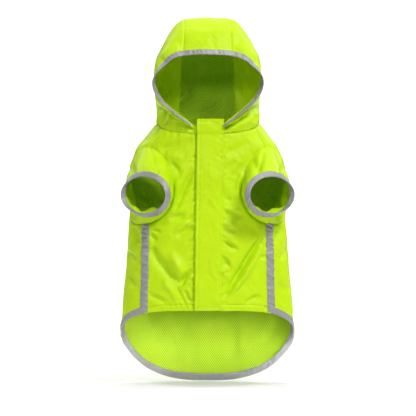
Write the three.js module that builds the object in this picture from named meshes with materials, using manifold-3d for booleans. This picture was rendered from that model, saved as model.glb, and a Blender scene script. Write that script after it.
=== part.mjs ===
// Dog raincoat: a hooded coat with two short sleeves, a front flap and reflective edges.
// Millimetres. +Z points to the hood, -Y to the belly side with the flap, +X to the right of it.
// The origin is on the inner face of the back panel, at the middle of the back neck seam.

import * as THREE from "three";
import { mergeVertices } from "three/addons/utils/BufferGeometryUtils.js";
import Module from "manifold-3d";

const wasm = await Module();
wasm.setup();

// Cloth and trims
const shellWall = 1.2;
const liningWall = 1;
const trimWall = 2.4;
const tapeWall = 1;
const tapeWidth = 12.7;
const flapWall = 1.6;
const seamGap = 0.3;
const trimGap = 0.95;
const armholeGap = 0.7;
const turnedHem = 0.8;
const hoodTrimWidth = 8;
const cuffTrimWidth = 9;
const hemTrimWidth = 10;

// The body is a tube of rounded sections whose middle line stands at bodyAxisY
const neckBackDepth = 46;
const bodyAxisY = -neckBackDepth + shellWall;
const squareness = 2.25;
const bodySections = [
  { drop: -10, half: 80.5, front: 45, back: 45.5 },
  { drop: 0, half: 81, front: 46, back: neckBackDepth },
  { drop: 7, half: 83, front: 46.5, back: 47.5 },
  { drop: 19, half: 91.5, front: 48, back: 50.5 },
  { drop: 32, half: 101, front: 49.5, back: 53 },
  { drop: 45, half: 111.5, front: 51, back: 55 },
  { drop: 60, half: 119, front: 52, back: 57 },
  { drop: 80, half: 125, front: 53, back: 59 },
  { drop: 110, half: 127, front: 54, back: 60 },
  { drop: 160, half: 126, front: 54, back: 61 },
  { drop: 210, half: 129, front: 54, back: 60 },
  { drop: 255, half: 132.5, front: 53, back: 59 },
  { drop: 300, half: 136, front: 52, back: 57 },
  { drop: 345, half: 139.5, front: 51, back: 55 },
  { drop: 425, half: 140, front: 50, back: 53 },
];

// The neck seam and the lower edge, by the angle round from the front
const neckLine = [
  { angle: 0, z: -26 },
  { angle: 15, z: -25.5 },
  { angle: 33, z: -22.5 },
  { angle: 48, z: -18.5 },
  { angle: 65, z: -13 },
  { angle: 88, z: -7 },
  { angle: 120, z: -3 },
  { angle: 150, z: -0.8 },
  { angle: 180, z: 0 },
];
const hemLine = [
  { angle: 0, z: -307.5 },
  { angle: 30, z: -308.5 },
  { angle: 50, z: -314 },
  { angle: 70, z: -325 },
  { angle: 90, z: -342 },
  { angle: 105, z: -359 },
  { angle: 120, z: -377 },
  { angle: 135, z: -395 },
  { angle: 150, z: -409 },
  { angle: 165, z: -417 },
  { angle: 180, z: -419 },
];

// Half the width between the two side seams, by the drop below the neck
const sideSeam = [
  { drop: 0, x: 70 },
  { drop: 18, x: 77 },
  { drop: 47, x: 92 },
  { drop: 110, x: 98 },
  { drop: 166, x: 99 },
  { drop: 227, x: 99.5 },
  { drop: 304, x: 101.5 },
  { drop: 345, x: 102.5 },
];

// Flap edges: the free edge is the left one
const flapTop = { z: -3, left: -16.5, right: 25.6 };
const flapFoot = { z: -307, left: -20.8, right: 21.6 };
const flapLean = 6;

// The largest folds: a trough or ridge along a bent line from x1, z1 through x2, z2 to x3, z3
const folds = [
  { x1: -22, z1: -85, x2: -37, z2: -114, x3: -52, z3: -152, width: 6, rise: -4 },
  { x1: -90, z1: -215, x2: -70, z2: -242, x3: -36, z3: -266, width: 9, rise: -4 },
  { x1: -27, z1: -244, x2: -36, z2: -256, x3: -41, z3: -266, width: 5, rise: 2.5 },
  { x1: -76, z1: -48, x2: -48, z2: -48, x3: -26, z3: -35, width: 8, rise: -3 },
  { x1: 88, z1: -186, x2: 60, z2: -230, x3: 25, z3: -290, width: 6, rise: -4 },
  { x1: 84, z1: -212, x2: 64, z2: -240, x3: 36, z3: -284, width: 6, rise: 3 },
  { x1: 28, z1: -84, x2: 36, z2: -78, x3: 43, z3: -69, width: 6, rise: -2.5 },
  { x1: 47, z1: -110, x2: 52, z2: -98, x3: 55, z3: -91, width: 6, rise: 2.5 },
];

// Armhole on the body, in degrees round it and millimetres below the neck
const armhole = { angle: 57, spread: 34, drop: 107, half: 60, lowerFullness: 0.8, points: 36 };
const cutterReach = 7;
const cutterInnerTip = -60;
const cutterOuterTip = 40;
const liningArmholeGap = 2.5;

// The right cuff: where the sleeve cloth ends, and the front edge of its binding
const cuffTilt = 25;
const cuffClothEnd = { x: 98, y: -73, z: -123.6, across: 40.5, up: 34.5 };
const cuffFrontEdge = { x: 103, y: -79, z: -124.3, across: 39.7, up: 27.5 };
const sleeveFullness = 5;

// Right half of the hood: points on each cross row from the centre strip's seam down to the neck.
// lean turns the opening's binding out from straight forward, in degrees.
const hoodRows = [
  { sx: 38, sy: -58, sz: 109.5, tx: 66, ty: -57.5, tz: 95, cx: 84, cy: -56, cz: 65,
    jx: 66, jy: -54, jz: 33, foot: 2.5 },
  { sx: 37, sy: -42, sz: 141, tx: 62, ty: -42, tz: 121, cx: 83, cy: -40, cz: 84,
    jx: 81, jy: -38, jz: 35, foot: 40 },
  { sx: 38, sy: 0, sz: 160, tx: 64, ty: -4, tz: 131, cx: 84, cy: -6, cz: 88,
    jx: 84, jy: -8, jz: 40, foot: 75 },
  { sx: 40, sy: 40, sz: 142, tx: 61, ty: 36, tz: 113, cx: 76, cy: 30, cz: 78,
    jx: 81, jy: 22, jz: 38, foot: 100 },
  { sx: 43, sy: 62, sz: 97, tx: 56, ty: 57, tz: 77, cx: 66, cy: 50, cz: 55,
    jx: 72, jy: 40, jz: 27, foot: 120 },
  { sx: 45, sy: 61, sz: 48, tx: 51, ty: 57.5, tz: 37, cx: 56, cy: 53, cz: 26,
    jx: 60, jy: 47, jz: 13, foot: 135 },
];
const nape = { foot: 147, tip: 0.06 };
const hoodKnots = [0, 0.23, 0.46, 0.7, 1];
const gussetCrown = 1.6;
const liningInset = 4;
const trimLean = [
  { share: 0, lean: -72 },
  { share: 0.23, lean: -48 },
  { share: 0.46, lean: 25 },
  { share: 0.7, lean: 50 },
  { share: 0.93, lean: 35 },
];
const trimEndShare = 0.85;

// Number of stretches along each piece
const shoulderRows = 10;
const skirtRows = 8;
const flapSteps = 3;
const bellySteps = 8;
const backSteps = 10;
const hoodSteps = 12;
const hoodLong = 14;
const gussetSteps = 6;
const trimSideSteps = 14;
const sleeveSteps = 5;
const flapTopRows = 3;
const foldSteps = 12;

const lime = { color: 0x95d70a, roughness: 0.55, metalness: 0 };
const limeMesh = { color: 0x86b516, roughness: 0.85, metalness: 0 };
const greyTape = { color: 0x8f8e8d, roughness: 0.45, metalness: 0.1 };

// A smooth curve through one column of a table, flat at its ends where asked
function curveThrough(table, along, column, flatEnds = false) {
  const x = table.map((row) => row[along]);
  const y = table.map((row) => row[column]);
  const last = x.length - 1;
  const slope = y.map((value, i) => {
    const before = Math.max(i - 1, 0);
    const after = Math.min(i + 1, last);
    const isEnd = i === 0 || i === last;
    return flatEnds && isEnd ? 0 : (y[after] - y[before]) / (x[after] - x[before]);
  });
  return (at) => {
    const here = THREE.MathUtils.clamp(at, x[0], x[last]);
    let i = 0;
    while (i < last - 1 && here > x[i + 1]) i += 1;
    const span = x[i + 1] - x[i];
    const t = (here - x[i]) / span;
    const rise = t * t * (3 - 2 * t);
    const leave = t * (1 - t) * (1 - t) * slope[i] * span;
    const arrive = t * t * (t - 1) * slope[i + 1] * span;
    return y[i] + (y[i + 1] - y[i]) * rise + leave + arrive;
  };
}

const bodyHalf = curveThrough(bodySections, "drop", "half");
const bodyFront = curveThrough(bodySections, "drop", "front");
const bodyBack = curveThrough(bodySections, "drop", "back");
const neckHeight = curveThrough(neckLine, "angle", "z", true);
const hemHeight = curveThrough(hemLine, "angle", "z", true);
const seamHalf = curveThrough(sideSeam, "drop", "x");

function rounded(value) {
  return Math.sign(value) * Math.abs(value) ** (2 / squareness);
}

function bodyPoint(angle, z) {
  const turn = THREE.MathUtils.degToRad(angle);
  const along = Math.cos(turn);
  const depth = along > 0 ? bodyFront(-z) : bodyBack(-z);
  const x = bodyHalf(-z) * rounded(Math.sin(turn));
  return new THREE.Vector3(x, bodyAxisY - depth * rounded(along), z);
}

// The outward normal of a surface given as a function of two numbers
function normalOf(surface, u, v, stepU, stepV) {
  const alongU = surface(u + stepU, v).sub(surface(u - stepU, v));
  const alongV = surface(u, v + stepV).sub(surface(u, v - stepV));
  return alongU.cross(alongV).normalize();
}

function bodyNormal(angle, z) {
  return normalOf(bodyPoint, angle, z, 0.5, 0.5);
}

// The rise of the folds at a place on the front
function foldRise(x, z) {
  let rise = 0;
  for (const fold of folds) {
    let nearest = Infinity;
    let nearestShare = 0;
    for (let i = 0; i <= foldSteps; i += 1) {
      const t = i / foldSteps;
      const px = (1 - t) ** 2 * fold.x1 + 2 * t * (1 - t) * fold.x2 + t * t * fold.x3;
      const pz = (1 - t) ** 2 * fold.z1 + 2 * t * (1 - t) * fold.z2 + t * t * fold.z3;
      const distance = Math.hypot(x - px, z - pz);
      if (distance < nearest) {
        nearest = distance;
        nearestShare = t;
      }
    }
    const fade = Math.sin(Math.PI * nearestShare) ** 0.5;
    rise += fold.rise * fade * Math.exp(-((nearest / fold.width) ** 2));
  }
  return rise;
}

// A point on the outer face of the body, moved out by lift
function shellPoint(angle, z, lift = 0) {
  const point = bodyPoint(angle, z);
  const isFront = Math.cos(THREE.MathUtils.degToRad(angle)) > 0;
  const fold = isFront ? foldRise(point.x, z) : 0;
  return point.addScaledVector(bodyNormal(angle, z), lift + fold);
}

function bodyZ(angle, share) {
  const top = neckHeight(Math.abs(angle));
  return top + (hemHeight(Math.abs(angle)) - top) * share;
}

function angleAt(x, z) {
  const part = Math.min(Math.abs(x) / bodyHalf(-z), 1) ** (squareness / 2);
  return THREE.MathUtils.radToDeg(Math.asin(part)) * Math.sign(x);
}

// The angle where a line such as a seam lies on one row of the body
function angleOfLine(lineX, share, start) {
  let angle = start;
  for (let i = 0; i < 8; i += 1) {
    angle = angleAt(lineX(bodyZ(angle, share)), bodyZ(angle, share));
  }
  return angle;
}

function flapX(side, z) {
  const t = (z - flapTop.z) / (flapFoot.z - flapTop.z);
  return THREE.MathUtils.lerp(flapTop[side], flapFoot[side], t);
}

function seamAngle(share) {
  return angleOfLine((z) => seamHalf(-z), share, 52);
}

// Degrees round the body for one millimetre of cloth
function degreesPerMm(angle, z) {
  return 1 / bodyPoint(angle + 0.5, z).distanceTo(bodyPoint(angle - 0.5, z));
}

// Rows of the body: the tapes start on the row just under the armholes
const tapeStart = 0.521;
const bodyRows = [];
for (let i = 0; i < shoulderRows; i += 1) {
  bodyRows.push(tapeStart * (i / shoulderRows) ** 1.25);
}
for (let i = 0; i <= skirtRows; i += 1) {
  bodyRows.push(tapeStart + ((1 - tapeStart) * i) / skirtRows);
}

// Angles of the columns from the middle of the front to the side seam, for the right side
function bellyColumns(share, side) {
  const z = bodyZ(0, share);
  const edge = Math.abs(angleAt(flapX(side, z), z));
  const seam = seamAngle(share);
  const seamZ = bodyZ(seam, share);
  const tape = (tapeWidth / 2) * degreesPerMm(seam, seamZ);
  const gap = (seamGap / 2) * degreesPerMm(seam, seamZ);
  const columns = [(seamGap / 2) * degreesPerMm(0, z)];
  for (let i = 1; i <= flapSteps; i += 1) columns.push((edge * i) / flapSteps);
  for (let i = 1; i <= bellySteps; i += 1) {
    columns.push(edge + ((seam - tape - edge) * i) / bellySteps);
  }
  columns.push(seam - gap);
  return columns;
}

function backColumns(share) {
  const seam = seamAngle(share);
  const seamZ = bodyZ(seam, share);
  const tape = (tapeWidth / 2) * degreesPerMm(seam, seamZ);
  const gap = (seamGap / 2) * degreesPerMm(seam, seamZ);
  const half = [seam + gap];
  for (let i = 0; i <= backSteps; i += 1) half.push(seam + tape + ((180 - seam - tape) * i) / backSteps);
  const rest = half.slice(0, -1).map((angle) => 360 - angle);
  return half.concat(rest.reverse());
}

function bodyAt(angle, share, lift) {
  const wrapped = angle > 180 ? angle - 360 : angle;
  return shellPoint(wrapped, bodyZ(wrapped, share), lift);
}

// A closed solid from a grid of outer points and the matching inner points
function wall(outer, inner, joined = false) {
  const rows = outer.length;
  const columns = outer[0].length;
  const points = [...outer.flat(), ...inner.flat()];
  const faces = [];
  const index = (layer, i, j) => layer * rows * columns + i * columns + (j % columns);
  const quad = (a, b, c, d) => faces.push(a, b, c, a, c, d);
  const spans = joined ? columns : columns - 1;
  for (let i = 0; i < rows - 1; i += 1) {
    for (let j = 0; j < spans; j += 1) {
      quad(index(0, i, j), index(0, i + 1, j), index(0, i + 1, j + 1), index(0, i, j + 1));
      quad(index(1, i, j), index(1, i, j + 1), index(1, i + 1, j + 1), index(1, i + 1, j));
    }
  }
  for (let j = 0; j < spans; j += 1) {
    quad(index(0, 0, j), index(0, 0, j + 1), index(1, 0, j + 1), index(1, 0, j));
    quad(index(0, rows - 1, j + 1), index(0, rows - 1, j), index(1, rows - 1, j), index(1, rows - 1, j + 1));
  }
  if (!joined) {
    for (let i = 0; i < rows - 1; i += 1) {
      const last = columns - 1;
      quad(index(0, i + 1, 0), index(0, i, 0), index(1, i, 0), index(1, i + 1, 0));
      quad(index(0, i, last), index(0, i + 1, last), index(1, i + 1, last), index(1, i, last));
    }
  }
  return solid(points, faces);
}

// A geometry whose faces look outward, whichever way round its grid was made
function solid(points, faces) {
  let volume = 0;
  for (let i = 0; i < faces.length; i += 3) {
    const [a, b, c] = [points[faces[i]], points[faces[i + 1]], points[faces[i + 2]]];
    volume += a.dot(b.clone().cross(c));
  }
  const turned = [];
  for (let i = 0; i < faces.length; i += 3) {
    const [a, b, c] = faces.slice(i, i + 3);
    turned.push(...(volume > 0 ? [a, b, c] : [a, c, b]));
  }
  const geometry = new THREE.BufferGeometry();
  geometry.setAttribute("position", new THREE.Float32BufferAttribute(points.flatMap((p) => p.toArray()), 3));
  geometry.setIndex(turned);
  return geometry;
}

// A wall that follows the body, between two depths under or over its outer face
function bodyWall(shares, columnsOf, outerLift, innerLift) {
  const grid = (lift) =>
    shares.map((share, i) => columnsOf(share).map((angle) => bodyAt(angle, share, lift(i))));
  return wall(grid(() => outerLift), grid(innerLift));
}

function toManifold(geometry) {
  const clean = mergeVertices(geometry, 1e-4);
  const vertProperties = new Float32Array(clean.attributes.position.array);
  const triVerts = new Uint32Array(clean.index.array);
  return new wasm.Manifold(new wasm.Mesh({ numProp: 3, vertProperties, triVerts }));
}

function fromManifold(manifold) {
  const mesh = manifold.getMesh();
  const geometry = new THREE.BufferGeometry();
  geometry.setAttribute("position", new THREE.Float32BufferAttribute(mesh.vertProperties, 3));
  geometry.setIndex(Array.from(mesh.triVerts));
  return geometry;
}

function mirrored(geometry) {
  const copy = geometry.clone();
  copy.scale(-1, 1, 1);
  const turned = Array.from(copy.index.array);
  for (let i = 0; i < turned.length; i += 3) {
    [turned[i + 1], turned[i + 2]] = [turned[i + 2], turned[i + 1]];
  }
  copy.setIndex(turned);
  return copy;
}

// Armhole and sleeve of the right side
function armholePoint(turn) {
  const across = Math.cos(turn);
  const up = Math.sin(turn);
  const power = up < 0 ? armhole.lowerFullness : 1;
  const angle = armhole.angle + armhole.spread * Math.sign(across) * Math.abs(across) ** power;
  const z = -armhole.drop + armhole.half * Math.sign(up) * Math.abs(up) ** power;
  return { angle, z, point: bodyPoint(angle, z) };
}

function cuffRingPoint(ring, turn) {
  const tilt = THREE.MathUtils.degToRad(cuffTilt);
  const across = ring.across * Math.cos(turn);
  const x = ring.x + across * Math.cos(tilt);
  const y = bodyAxisY + ring.y + across * Math.sin(tilt);
  return new THREE.Vector3(x, y, ring.z + ring.up * Math.sin(turn));
}

function sleevePoint(turn, share) {
  const start = armholePoint(turn).point;
  const end = cuffRingPoint(cuffClothEnd, turn);
  const beside = armholePoint(turn + 0.01).point.sub(armholePoint(turn - 0.01).point);
  const outward = end.clone().sub(start).cross(beside).normalize();
  const upperShare = (1 + Math.cos(turn - Math.PI / 4)) / 2;
  const fullness = sleeveFullness * upperShare * 4 * share * (1 - share);
  return start.lerp(end, share).addScaledVector(outward, -fullness);
}

function sleeveNormal(turn, share) {
  const normal = normalOf(sleevePoint, turn, share, 0.02, 0.01);
  const centre = new THREE.Vector3(cuffClothEnd.x, 0, cuffClothEnd.z);
  const outward = sleevePoint(turn, share).sub(centre).setY(0);
  return normal.dot(outward) < 0 ? normal.negate() : normal;
}

// The plane in which sleeve and body meet is halfway between their normals
function armholeMeeting(turn) {
  const place = armholePoint(turn);
  const body = bodyNormal(place.angle, place.z);
  const sleeve = sleeveNormal(turn, 0.02);
  return { ...place, body, sleeve, shared: body.clone().add(sleeve).normalize() };
}

// A block through the armhole, wider than the sleeve by margin
function armholeCutter(margin) {
  const points = [];
  const faces = [];
  const count = armhole.points;
  for (let i = 0; i < count; i += 1) {
    const turn = (2 * Math.PI * i) / count;
    const { point, body, shared } = armholeMeeting(turn);
    const beside = armholePoint(turn + 0.01).point.sub(armholePoint(turn - 0.01).point);
    const away = body.clone().cross(beside).normalize();
    const centre = bodyPoint(armhole.angle, -armhole.drop);
    if (away.dot(point.clone().sub(centre)) < 0) away.negate();
    const edge = point.clone().addScaledVector(away, margin);
    points.push(edge.clone().addScaledVector(shared, -cutterReach));
    points.push(edge.clone().addScaledVector(shared, cutterReach));
  }
  const middle = bodyPoint(armhole.angle, -armhole.drop);
  const normal = bodyNormal(armhole.angle, -armhole.drop);
  points.push(middle.clone().addScaledVector(normal, cutterInnerTip));
  points.push(middle.clone().addScaledVector(normal, cutterOuterTip));
  for (let i = 0; i < count; i += 1) {
    const next = (i + 1) % count;
    faces.push(2 * i, 2 * next, 2 * next + 1, 2 * i, 2 * next + 1, 2 * i + 1);
    faces.push(2 * next, 2 * i, 2 * count, 2 * i + 1, 2 * next + 1, 2 * count + 1);
  }
  return toManifold(solid(points, faces));
}

// A bound edge: a flat strip with a rounded front, along a row of places on the cloth's edge
function boundEdge(places, width, sink, joined) {
  const half = trimWall / 2;
  const profile = [
    [trimGap, half],
    [width - half, half],
    [width - 0.3 * half, 0.7 * half],
    [width, 0],
    [width - 0.3 * half, -0.7 * half],
    [width - half, -half],
    [trimGap, -half],
  ];
  const points = [];
  const faces = [];
  const sides = profile.length;
  for (const { edge, forward, normal } of places) {
    for (const [ahead, up] of profile) {
      points.push(edge.clone().addScaledVector(forward, ahead).addScaledVector(normal, up - sink));
    }
  }
  const spans = joined ? places.length : places.length - 1;
  for (let i = 0; i < spans; i += 1) {
    for (let j = 0; j < sides; j += 1) {
      const [a, b] = [i * sides + j, i * sides + ((j + 1) % sides)];
      const next = ((i + 1) % places.length) * sides;
      const [c, d] = [next + ((j + 1) % sides), next + j];
      faces.push(a, b, c, a, c, d);
    }
  }
  if (!joined) {
    const end = (places.length - 1) * sides;
    for (let j = 1; j < sides - 1; j += 1) {
      faces.push(0, j + 1, j, end, end + j, end + j + 1);
    }
  }
  return solid(points, faces);
}

// Hood surface of the right half: share runs from the centre strip down to the neck seam
const hoodTable = hoodRows.map((row, station) => ({ station, ...row }));
hoodTable.push({ station: hoodRows.length, foot: nape.foot });

function neckPoint(angle) {
  return bodyPoint(angle, neckHeight(angle)).setZ(neckHeight(angle) + seamGap);
}

const napePoint = neckPoint(nape.foot);
for (const letter of ["s", "t", "c", "j"]) {
  const row = hoodTable[hoodRows.length];
  row[`${letter}x`] = napePoint.x;
  row[`${letter}y`] = napePoint.y - bodyAxisY;
  row[`${letter}z`] = napePoint.z;
}
const footAngle = curveThrough(hoodTable, "station", "foot");
const hoodCurves = {};
for (const name of ["sx", "sy", "sz", "tx", "ty", "tz", "cx", "cy", "cz", "jx", "jy", "jz"]) {
  hoodCurves[name] = curveThrough(hoodTable, "station", name);
}

function hoodPoint(share, station) {
  const foot = neckPoint(THREE.MathUtils.clamp(footAngle(station), 0, 180));
  const rows = ["s", "t", "c", "j"].map((letter, i) => ({
    share: hoodKnots[i],
    x: hoodCurves[`${letter}x`](station),
    y: bodyAxisY + hoodCurves[`${letter}y`](station),
    z: hoodCurves[`${letter}z`](station),
  }));
  rows.push({ share: 1, x: foot.x, y: foot.y, z: foot.z });
  const at = (column) => curveThrough(rows, "share", column)(share);
  return new THREE.Vector3(at("x"), at("y"), at("z"));
}

function outwardFrom(centre, point, normal) {
  return normal.dot(point.clone().sub(centre)) < 0 ? normal.negate() : normal;
}

const hoodMiddle = new THREE.Vector3(0, bodyAxisY, 60);

function hoodNormal(share, station) {
  const u = THREE.MathUtils.clamp(share, 0.01, 0.99);
  const v = THREE.MathUtils.clamp(station, 0.02, hoodRows.length - 0.1);
  return outwardFrom(hoodMiddle, hoodPoint(u, v), normalOf(hoodPoint, u, v, 0.01, 0.02));
}

// The centre strip: across runs from -1 to 1 between its two seams
function gussetPoint(across, station) {
  const seam = hoodPoint(0, station);
  const ahead = hoodPoint(0, station + 0.05).sub(hoodPoint(0, station - 0.05));
  const up = new THREE.Vector3(0, -ahead.z, ahead.y).normalize();
  const point = new THREE.Vector3(seam.x * across, seam.y, seam.z);
  point.addScaledVector(up, gussetCrown * (1 - across * across));
  const last = hoodRows.length;
  const settle = THREE.MathUtils.smoothstep(station, last - 1, last) * (1 - across ** 4);
  const onNeck = neckPoint(180 - (180 - nape.foot) * Math.abs(across));
  onNeck.x = seam.x * across;
  return point.lerp(onNeck, settle);
}

function gussetNormal(across, station) {
  const v = THREE.MathUtils.clamp(station, 0.02, hoodRows.length - 0.02);
  return outwardFrom(hoodMiddle, gussetPoint(across, v), normalOf(gussetPoint, across, v, 0.02, 0.02));
}

// The direction that both cloths share at the seam of the centre strip, longer where they bend
function ridge(station) {
  const side = hoodNormal(0, station);
  const shared = side.clone().add(gussetNormal(1, station)).normalize();
  return shared.multiplyScalar(1 / shared.dot(side));
}

const stations = [];
for (let i = 0; i <= hoodLong; i += 1) {
  stations.push(((hoodRows.length - nape.tip) * i) / hoodLong);
}

function hoodSide() {
  const outer = [];
  const inner = [];
  for (const station of stations) {
    const first = (seamGap / 2) / hoodPoint(0, station).distanceTo(hoodPoint(1, station));
    const shares = [];
    for (let i = 0; i <= hoodSteps; i += 1) shares.push(first + ((1 - first) * i) / hoodSteps);
    outer.push(shares.map((share) => hoodPoint(share, station)));
    inner.push(shares.map((share, i) => {
      const normal = i === 0 ? ridge(station) : hoodNormal(share, station);
      return hoodPoint(share, station).addScaledVector(normal, -shellWall);
    }));
  }
  return wall(outer, inner);
}

function gussetWall(outerLift, innerLift, endStation, inset) {
  const mitred = inset < seamGap;
  const outer = [];
  const inner = [];
  for (let i = 0; i <= hoodLong; i += 1) {
    const station = Math.min((hoodRows.length * i) / hoodLong, endStation);
    const edge = 1 - inset / hoodPoint(0, station).x;
    const place = (j, lift) => {
      const across = edge * ((2 * j) / gussetSteps - 1);
      const isSeam = mitred && (j === 0 || j === gussetSteps);
      const direction = isSeam ? ridge(station) : gussetNormal(across, station);
      if (isSeam && j === 0) direction.x *= -1;
      return gussetPoint(across, station).addScaledVector(direction, lift);
    };
    outer.push(Array.from({ length: gussetSteps + 1 }, (unused, j) => place(j, outerLift)));
    inner.push(Array.from({ length: gussetSteps + 1 }, (unused, j) => place(j, innerLift)));
  }
  return wall(outer, inner);
}

// Places along the edge of the hood opening, from the right end over the top to the left end
function hoodTrimPlaces() {
  const leanAt = curveThrough(trimLean, "share", "lean");
  const half = [];
  for (let i = 0; i < trimSideSteps; i += 1) {
    const share = trimEndShare * (1 - i / trimSideSteps);
    half.push({ edge: hoodPoint(share, 0), share });
  }
  const halfGusset = gussetSteps / 2;
  for (let i = 0; i <= halfGusset; i += 1) {
    half.push({ edge: gussetPoint(1 - i / halfGusset, 0), share: 0 });
  }
  const other = half.slice(0, -1).map(({ edge, share }) => {
    return { edge: edge.clone().setX(-edge.x), share };
  });
  const all = half.concat(other.reverse());
  return all.map(({ edge, share }, i) => {
    const before = all[Math.max(i - 1, 0)].edge;
    const after = all[Math.min(i + 1, all.length - 1)].edge;
    const tangent = after.clone().sub(before).normalize();
    const outward = new THREE.Vector3(tangent.z, 0, -tangent.x).normalize();
    if (outward.dot(edge.clone().sub(hoodMiddle).setY(0)) < 0) outward.negate();
    const lean = THREE.MathUtils.degToRad(leanAt(share));
    const forward = new THREE.Vector3(0, -Math.cos(lean), 0).addScaledVector(outward, Math.sin(lean));
    forward.addScaledVector(tangent, -forward.dot(tangent)).normalize();
    return { edge, forward, normal: tangent.clone().cross(forward).normalize() };
  });
}

function cuffTrimPlaces() {
  const places = [];
  for (let i = 0; i < armhole.points; i += 1) {
    const turn = (2 * Math.PI * i) / armhole.points;
    const edge = cuffRingPoint(cuffClothEnd, turn);
    const forward = cuffRingPoint(cuffFrontEdge, turn).sub(edge).normalize();
    const beside = cuffRingPoint(cuffClothEnd, turn + 0.05).sub(cuffRingPoint(cuffClothEnd, turn - 0.05));
    const normal = forward.clone().cross(beside.normalize()).normalize();
    places.push({ edge, forward, normal });
  }
  return places;
}

function hemTrimPlaces() {
  const hemAngles = backColumns(1);
  return backColumns(backHemShare(seamAngle(1))).map((angle, i) => {
    const wrapped = angle > 180 ? angle - 360 : angle;
    const hem = bodyAt(hemAngles[i], 1, 0);
    const edge = bodyAt(wrapped, backHemShare(wrapped), 0);
    const forward = hem.clone().sub(edge).normalize();
    const normal = bodyNormal(wrapped, hem.z);
    normal.addScaledVector(forward, -normal.dot(forward)).normalize();
    return { edge, forward, normal };
  });
}

function backHemShare(angle) {
  const length = neckHeight(Math.abs(angle)) - hemHeight(Math.abs(angle));
  return 1 - hemTrimWidth / length;
}

// Sleeve wall, from its mitred base to the cuff
function sleeve() {
  const outer = [];
  const inner = [];
  for (let i = 0; i <= sleeveSteps; i += 1) {
    const share = i / sleeveSteps;
    const outerRow = [];
    const innerRow = [];
    for (let j = 0; j < armhole.points; j += 1) {
      const turn = (2 * Math.PI * j) / armhole.points;
      const point = sleevePoint(turn, share);
      const meeting = armholeMeeting(turn);
      const mitre = meeting.shared.clone().multiplyScalar(1 / meeting.shared.dot(meeting.sleeve));
      const inward = i === 0 ? mitre : sleeveNormal(turn, share);
      outerRow.push(point);
      innerRow.push(point.clone().addScaledVector(inward, -shellWall));
    }
    outer.push(outerRow);
    inner.push(innerRow);
  }
  return wall(outer, inner, true);
}

// Belly panels, with a thicker turned hem, cut by the armholes
const cutter = armholeCutter(armholeGap);
const mirroredCutter = cutter.mirror([1, 0, 0]);
const wideCutter = armholeCutter(liningArmholeGap);
const hemRow = bodyRows.length - 1;
const bellyInner = (i) => -shellWall - (i === hemRow ? turnedHem : 0);
const bellyRight = bodyWall(bodyRows, (share) => bellyColumns(share, "right"), 0, bellyInner);
const bellyLeftColumns = (share) => bellyColumns(share, "left").map((angle) => -angle);
const bellyLeft = bodyWall(bodyRows, bellyLeftColumns, 0, bellyInner);

// Back panel and its lining end at the hem binding
const seamHemShare = backHemShare(seamAngle(1));
function backWall(outerLift, innerLift) {
  const grid = (lift) =>
    bodyRows.map((share, i) =>
      backColumns(i === hemRow ? seamHemShare : share).map((angle) => {
        const wrapped = angle > 180 ? angle - 360 : angle;
        return bodyAt(wrapped, i === hemRow ? backHemShare(wrapped) : share, lift);
      })
    );
  return wall(grid(outerLift), grid(innerLift));
}

const backPanel = toManifold(backWall(0, -shellWall)).subtract(cutter).subtract(mirroredCutter);
const liningDepth = shellWall + seamGap;
const backLining = toManifold(backWall(-liningDepth, -liningDepth - liningWall))
  .subtract(wideCutter)
  .subtract(wideCutter.mirror([1, 0, 0]));

// Front flap: the belly's own points moved out, and a top that stands over the hood's front
function flap() {
  const outer = [];
  const inner = [];
  for (let i = 0; i < flapTopRows; i += 1) {
    const t = i / flapTopRows;
    const z = THREE.MathUtils.lerp(flapTop.z, neckHeight(0), t);
    const lean = flapLean * (1 - t) ** 0.5;
    const row = (lift) => {
      const left = angleAt(flapX("left", z), z);
      const right = angleAt(flapX("right", z), z);
      const angles = [];
      for (let j = -flapSteps; j <= flapSteps; j += 1) {
        angles.push(((j < 0 ? -left : right) * j) / flapSteps);
      }
      return angles.map((angle) => bodyPoint(angle, z).addScaledVector(bodyNormal(angle, z), lift + lean));
    };
    outer.push(row(seamGap + flapWall));
    inner.push(row(seamGap));
  }
  for (const share of bodyRows) {
    const left = bellyColumns(share, "left").slice(1, flapSteps + 1).map((angle) => -angle);
    const right = bellyColumns(share, "right").slice(1, flapSteps + 1);
    const angles = [...left.reverse(), 0, ...right];
    outer.push(angles.map((angle) => bodyAt(angle, share, seamGap + flapWall)));
    inner.push(angles.map((angle) => bodyAt(angle, share, seamGap)));
  }
  return wall(outer, inner);
}

// Reflective tape over the right side seam, under the sleeve
function sideTape() {
  const shares = bodyRows.slice(shoulderRows);
  const columns = (share) => {
    const belly = bellyColumns(share, "right");
    const back = backColumns(share);
    return [belly[belly.length - 2], seamAngle(share), back[1]];
  };
  return bodyWall(shares, columns, seamGap + tapeWall, () => seamGap);
}

const liningEnd = hoodRows.length - 0.12;
const side = hoodSide();
const rightSleeve = sleeve();
const rightCuffTrim = boundEdge(cuffTrimPlaces(), cuffTrimWidth, shellWall / 2, true);
const rightTape = sideTape();
const group = new THREE.Group();

function add(name, geometry, finish) {
  const mesh = new THREE.Mesh(geometry, new THREE.MeshStandardMaterial(finish));
  mesh.name = name;
  group.add(mesh);
}

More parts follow.
